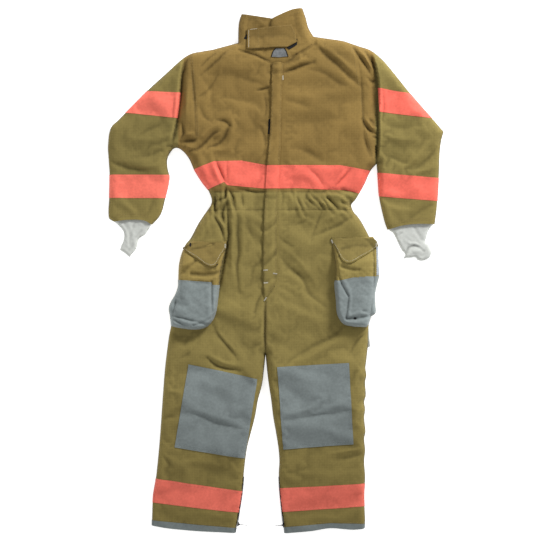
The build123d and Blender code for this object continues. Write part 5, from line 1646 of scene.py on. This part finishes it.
# ------------------------------------------------------------------------------------------------
# Knit wristlets
# ------------------------------------------------------------------------------------------------
WRISTS = {
    "right": (
        [
            (-522, 186, 1), (-520, 166), (-500, 146), (-485, 126), (-485, 102), (-492, 86), (-497, 70, 1),
            (-482, 60), (-467, 48, 1), (-446, 73), (-441, 90), (-437, 105), (-418, 118), (-408, 132),
            (-400, 146), (-398, 186, 1),
        ],
        [
            ([(-490, 150), (-474, 120), (-470, 80)], 1.6, 5), ([(-430, 130), (-452, 100), (-462, 70)], -1.6, 5),
            ([(-470, 160), (-455, 120), (-450, 90)], 1.2, 6), ([(-452, 150), (-462, 118), (-470, 60)], -1.2, 5),
        ],
    ),
    "left": (
        [
            (362, 186, 1), (356, 136), (370, 124), (384, 96), (397, 70), (408, 57), (404, 43, 1), (422, 45),
            (441, 46), (448, 38), (465, 36), (484, 45), (491, 60), (488, 78), (480, 90), (473, 96), (477, 112),
            (480, 126), (489, 144), (499, 152), (500, 186, 1),
        ],
        [
            ([(410, 62), (420, 78), (445, 82), (468, 66)], -3.5, 4), ([(416, 52), (430, 66), (448, 66)], 3, 8),
            ([(420, 92), (444, 88), (470, 64)], 2.5, 5), ([(372, 118), (384, 116), (396, 124)], -1.5, 4),
            ([(470, 96), (455, 110), (440, 140)], -1.6, 6), ([(480, 70), (476, 52), (460, 44)], 1.6, 6),
        ],
    ),
}  # fmt: skip


def level(z, flat):
    """The same height everywhere."""
    return np.full(len(flat), z)


for side, (outline, folds) in WRISTS.items():
    knit, _ = pillow(
        f"wristlet_{side}_knit", outline, 3.4, KNIT, partial(level, 11.0), 11.0, partial(level, 4.0),
        partial(level, 1.2), power=2.2, rise=0.4, noise=0.4, seed=81, folds=folds,
    )  # fmt: skip
    ride_as(knit, f"forearm_{side}", [f"wristlet_{side}"], "wrist_knit")
    outline = np.array([q[:2] for q in outline])
    wide, long = np.ptp(outline, axis=0)
    area = 0.5 * abs(sum(a[0] * b[1] - b[0] * a[1] for a, b in zip(outline, np.roll(outline, -1, 0))))
    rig.sheet(knit, flat=(float(wide) * MM, float(long) * MM), held="gathered", rests_on=["floor"],
             area=float(area) * MM * MM)  # fmt: skip

# ------------------------------------------------------------------------------------------------
# Leg zips at the inner ankles, with their CAD sliders and pulls
# ------------------------------------------------------------------------------------------------
LEG_ZIPS = {
    "right": [(-125, -806), (-121, -780), (-115, -740), (-109, -700), (-104, -650)],
    "left": [(22.5, -808), (19, -785), (14, -737), (9.5, -690), (7.5, -650)],
}
ZIP_SECTION = [(4.0, -1.0), (7.5, 0.6), (9.5, 0.6), (13.0, -1.0)]
CORNERS = np.array([(a, b, c) for a in (-1, 1) for b in (-1, 1) for c in (-1, 1)])
CUBE = np.array([
    (0, 1, 3), (0, 3, 2), (4, 6, 7), (4, 7, 5), (0, 4, 5), (0, 5, 1),
    (2, 3, 7), (2, 7, 6), (0, 2, 6), (0, 6, 4), (1, 5, 7), (1, 7, 3),
])  # fmt: skip
for side, line in LEG_ZIPS.items():
    way = 1 if side == "right" else -1
    path = curve(line, 5)
    points = [np.column_stack([path + (way * out, 0), np.full(len(path), z)]) for z, out in ZIP_SECTION]
    tris = [t[::-way] for t in strips(len(ZIP_SECTION), len(path))]
    tape = mesh(f"leg_zip_tape_{side}", np.concatenate(points), tris, TAPE)
    ride_as(tape, f"shin_{side}", [f"leg_zip_chain_{side}"], "zip_tape")
    teeth = [(x + way * 1.2, y, (8.0, 9.2)[i % 2]) for i, (x, y) in enumerate(curve(line, 3.2))]
    boxes = np.concatenate([np.array(q) + (0.9, 0.9, 1.1) * CORNERS for q in teeth])
    tris = np.concatenate([CUBE + len(CORNERS) * k for k in range(len(teeth))])
    row = mesh(f"leg_zip_teeth_{side}", boxes, tris, TEETH, smooth=False)
    ride_as(row, f"shin_{side}", [], "zip_tape")

# ------------------------------------------------------------------------------------------------
# Stitching and seams
# ------------------------------------------------------------------------------------------------
NECK_ROWS = [
    [(-120, 705), (-70, 690), (-22, 668)], [(-116, 698), (-68, 682), (-22, 660)],
    [(38, 678), (77, 699), (112, 721)], [(42, 672), (80, 692), (116, 714)],
]  # fmt: skip
YOKE_ROWS = [
    [(-274, 690), (-260, 546), (-251, 425)], [(-267, 690), (-253, 546), (-245, 425)],
    [(236, 722), (262, 562), (280, 451), (304, 358)],
]  # fmt: skip
WAIST_ROW = [(-205, 201), (-100, 200), (0, 200), (120, 201), (240, 203)]
BODY_ROWS = [
    *YOKE_ROWS, WAIST_ROW, [(-205, 249), (-100, 249), (0, 249), (120, 250), (250, 252)],
    [(-31, -92), (-31, -180), (-31, -240)], [(-40, -96), (-40, -180), (-40, -240)],
    [(6, 190), (10, 100), (10, 0), (4, -40), (-8, -70), (-24, -92)],
]  # fmt: skip
CHEST_ROWS = [
    [(-250, 324), (-197, 345), (-110, 347), (-30, 333)], [(14, 334), (200, 333), (296, 316)],
    [(-200, 272), (-155, 281), (-46, 270)], [(10, 269), (60, 270), (150, 267), (215, 265), (258, 256)],
]  # fmt: skip
BACK_ROWS = {
    "bodice": ([
        *YOKE_ROWS,
        [(230, 720), (255, 562), (273, 451), (297, 362)],
        [(-262, 612), (-120, 604), (0, 602), (120, 604), (252, 612)],
        [(-262, 605), (-120, 597), (0, 595), (120, 597), (252, 605)], [(0, 592), (0, 480), (-2, 360)],
        [(-112, 688), (-40, 684), (40, 684), (98, 688)],
    ], TAN_THREAD, 0.9),
    "seat": ([
        WAIST_ROW, [(-200, 249), (-100, 249), (0, 249), (120, 250), (250, 252)],
        [(-8, 190), (-20, 0), (-31, -150), (-34, -240)], [(-1, 190), (-13, 0), (-24, -150), (-28, -240)],
        [(-250, 140), (-120, 128), (-12, 124)], [(2, 124), (120, 128), (268, 140)],
    ], TAN_THREAD, 1.4),
    "trim": ([
        [(-250, 324), (-197, 345), (-110, 347), (-30, 333), (60, 333), (200, 333), (296, 316)],
        [(-200, 272), (-155, 281), (-30, 269), (60, 270), (150, 267), (215, 265), (258, 256)],
    ], PINK_THREAD, 1.4),
}  # fmt: skip
STORM_ROWS = [
    [(18, 655), (15, 613), (11, 500), (9, 400), (3, 300), (-3, 190), (-4, 100), (-3, 40), (-2, -4), (-8, -32),
     (-20, -58), (-36, -80)],
    [(-10, 655), (-12, 540), (-17, 430), (-25, 333), (-33, 200), (-37, 100), (-37, 0), (-36, -60)],
]  # fmt: skip
STORM_TACKS = [(20, 613, 0), (-35, 6, 1.5), (-34, -34, 1.5), (-36, -86, 0.6), (-5, -5, 1.7)]
HEM_ROWS = {
    "right": [(-388, -783), (-250, -797), (-136, -807)],
    "left": [(24, -805), (100, -798), (170, -792), (272, -795)],
}
CUFF_ROWS = {
    "right": [(-508, 174), (-470, 178), (-425, 177), (-402, 166)],
    "left": [(360, 146), (400, 159), (450, 164), (498, 163)],
}
COLLAR_ROWS = [
    [(-108, 810), (-60, 803), (-26, 798)], [(-6, 798), (16, 811), (50, 825), (78, 830)],
    [(-108, 803), (-60, 796), (-28, 791)], [(-2, 793), (16, 803), (50, 818), (80, 822)],
]  # fmt: skip
SLEEVE_REACH = {"upper_sleeve": (322, 500), "forearm": (345, 506)}
LEG_REACH = {"right": (-386, -120), "left": (16, 270)}
ROW_INSET = 5
RIM_OUTLINE = [q[:2] for _, points in RIM for q in points]

sew("neck_rows", NECK_ROWS, FRONT, DARK_THREAD, "torso", 5.0, 4.6, 1.6, 0.8)
sew("body_rows", BODY_ROWS, FRONT, TAN_THREAD, "torso")
sew("chest_trim_rows", CHEST_ROWS, FRONT, PINK_THREAD, "torso", wide=1.1, high=1.6)
for area, (lines, look, high) in BACK_ROWS.items():
    sew(f"back_{area}_rows", lines, BACK, look, "torso", high=high)
storm_rows = sew("storm_flap_rows", STORM_ROWS, STORM_TOP, TAN_THREAD, "storm_flap")
storm_tacks = bar_tacks("storm_flap_tacks", STORM_TACKS, STORM_TOP, "storm_flap", 1.4, 1.1)


def band_rows(name, lines, part, look, high=1.6):
    """Stitching on a band or patch of a part, which bends with it."""
    attach(stitches(name, lines, FRONT, look, 5.0, 3.9, 1.1, high), part)


def along(a, b, places, inset=0):
    """A line beside the edge from a to b, at the given places in x."""
    (ax, ay), (bx, by) = a, b
    return [(x, ay + (by - ay) * (x - ax) / (bx - ax) + inset) for x in places]


for side, s in (("right", -1), ("left", 1)):
    for limb, (inner_x, outer_x) in SLEEVE_REACH.items():
        q = BANDS[f"{limb}_trim_{side}"]
        middle = sum(y for _, y in q) / 4
        lines = [along(*sorted(edge), np.linspace(s * inner_x, s * outer_x, 5)) for edge in (q[:2], q[2:])]
        lines = [[(x, y - ROW_INSET * math.copysign(1, y - middle)) for x, y in line] for line in lines]
        lines = [[p for p in line if inside(np.array([p]), RIM_OUTLINE)[0]] for line in lines]
        lines = [line for line in lines if len(line) > 1]
        band_rows(f"{limb}_trim_{side}_rows", lines, f"{limb}_{side}", PINK_THREAD)
    q, places = BANDS[f"leg_trim_{side}"], np.linspace(*LEG_REACH[side], 6)
    lines = [along(q[0], q[1], places, -ROW_INSET), along(q[3], q[2], places, ROW_INSET)]
    band_rows(f"leg_trim_{side}_rows", lines, f"shin_{side}", PINK_THREAD)
    band_rows(f"hem_guard_{side}_rows", [HEM_ROWS[side]], f"shin_{side}", TAN_THREAD, high=0.9)
    patch = np.array(BANDS[f"knee_patch_{side}"])
    rings = [[(*(patch.mean(0) + (p - patch.mean(0)) * k), 1) for p in patch] for k in (0.955, 0.91)]
    lines = [ring + ring[:1] for ring in rings]
    band_rows(f"knee_patch_{side}_rows", lines, f"shin_{side}", GREY_THREAD, high=2.4)
    cuff = CUFF_ROWS[side]
    lines = [cuff, [(x, y + 6) for x, y in cuff]]
    band_rows(f"cuff_{side}_rows", lines, f"forearm_{side}", TAN_THREAD, high=0.9)
attach(stitches("collar_rows", COLLAR_ROWS, FRONT, TAN_THREAD, 5.0, 3.9, 1.1, 0.8), "collar")

# ------------------------------------------------------------------------------------------------
# Stage, light and camera
# ------------------------------------------------------------------------------------------------
FLOOR_HALF, FLOOR_Z = 6, -0.001
CORNER_SIGNS = ((-1, -1), (1, -1), (1, 1), (-1, 1))
floor_mesh = bpy.data.meshes.new("floor")
floor_mesh.from_pydata([(FLOOR_HALF * x, FLOOR_HALF * y, FLOOR_Z) for x, y in CORNER_SIGNS], [], [(0, 1, 2, 3)])
floor = bpy.data.objects.new("floor", floor_mesh)
bpy.context.scene.collection.objects.link(floor)
pale = bpy.data.materials.new("pale_floor")
pale.use_nodes = True
shader = pale.node_tree.nodes["Principled BSDF"]
shader.inputs["Base Color"].default_value = (0.93, 0.93, 0.93, 1)
shader.inputs["Roughness"].default_value = 0.9
shader.inputs["Emission Color"].default_value = (1, 1, 1, 1)
shader.inputs["Emission Strength"].default_value = 0.62
bpy.context.scene.view_settings.view_transform = "Standard"
floor.data.materials.append(pale)
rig.stage(floor)

world = bpy.data.worlds.new("studio")
bpy.context.scene.world = world
world.use_nodes = True
world.node_tree.nodes["Background"].inputs[0].default_value = (1, 1, 1, 1)
world.node_tree.nodes["Background"].inputs[1].default_value = 0.42


def soft_light(name, place, size, power):
    """A square lamp that points at the middle of the garment."""
    light = bpy.data.lights.new(name, "AREA")
    light.size, light.energy = size, power
    o = bpy.data.objects.new(name, light)
    o.location = place
    o.rotation_euler = (-Vector(place)).to_track_quat("-Z", "Y").to_euler()
    bpy.context.scene.collection.objects.link(o)


soft_light("key", (3.4, 4.9, 3.3), 1.6, 480)
soft_light("fill", (-3.0, -2.6, 4.4), 3.0, 60)

# straight above; the view is PLANE_WIDE metres wide at the height PLANE_Z
PLANE_WIDE, PLANE_Z, FAR, SENSOR = 1.7425, 0.018, 7.0, 36.0
camera_data = bpy.data.cameras.new("camera")
camera_data.sensor_width = SENSOR
camera_data.lens = SENSOR * (FAR - PLANE_Z) / PLANE_WIDE
camera = bpy.data.objects.new("camera", camera_data)
camera.location = (-0.005, -0.0095, FAR)
bpy.context.scene.collection.objects.link(camera)
bpy.context.scene.camera = camera

# ------------------------------------------------------------------------------------------------
# Sheets of cloth. A shell part's width counts its front and its back.
# ------------------------------------------------------------------------------------------------
for part, (o, (wide, long), area) in shell_of.items():
    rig.sheet(o, flat=(2 * float(wide), float(long)), held="laid", rests_on=["floor"],
             area=float(min(area, 2 * wide * long)), with_pieces=pieces_on[part])  # fmt: skip
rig.sheet(storm, held="laid", rests_on=["bodice_shell", "seat_shell"],
         with_pieces=[storm_trim, storm_rows, storm_tacks], **storm_cut)  # fmt: skip
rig.sheet(tab, held="laid", rests_on=["collar_shell"], with_pieces=[tab_rows, tab_edge_rows], **tab_cut)

low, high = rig.bounds()
with open("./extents.json", "w") as f:
    json.dump({"cad": [list(cad_low), list(cad_high)], "visual": [list(low), list(high)]}, f)
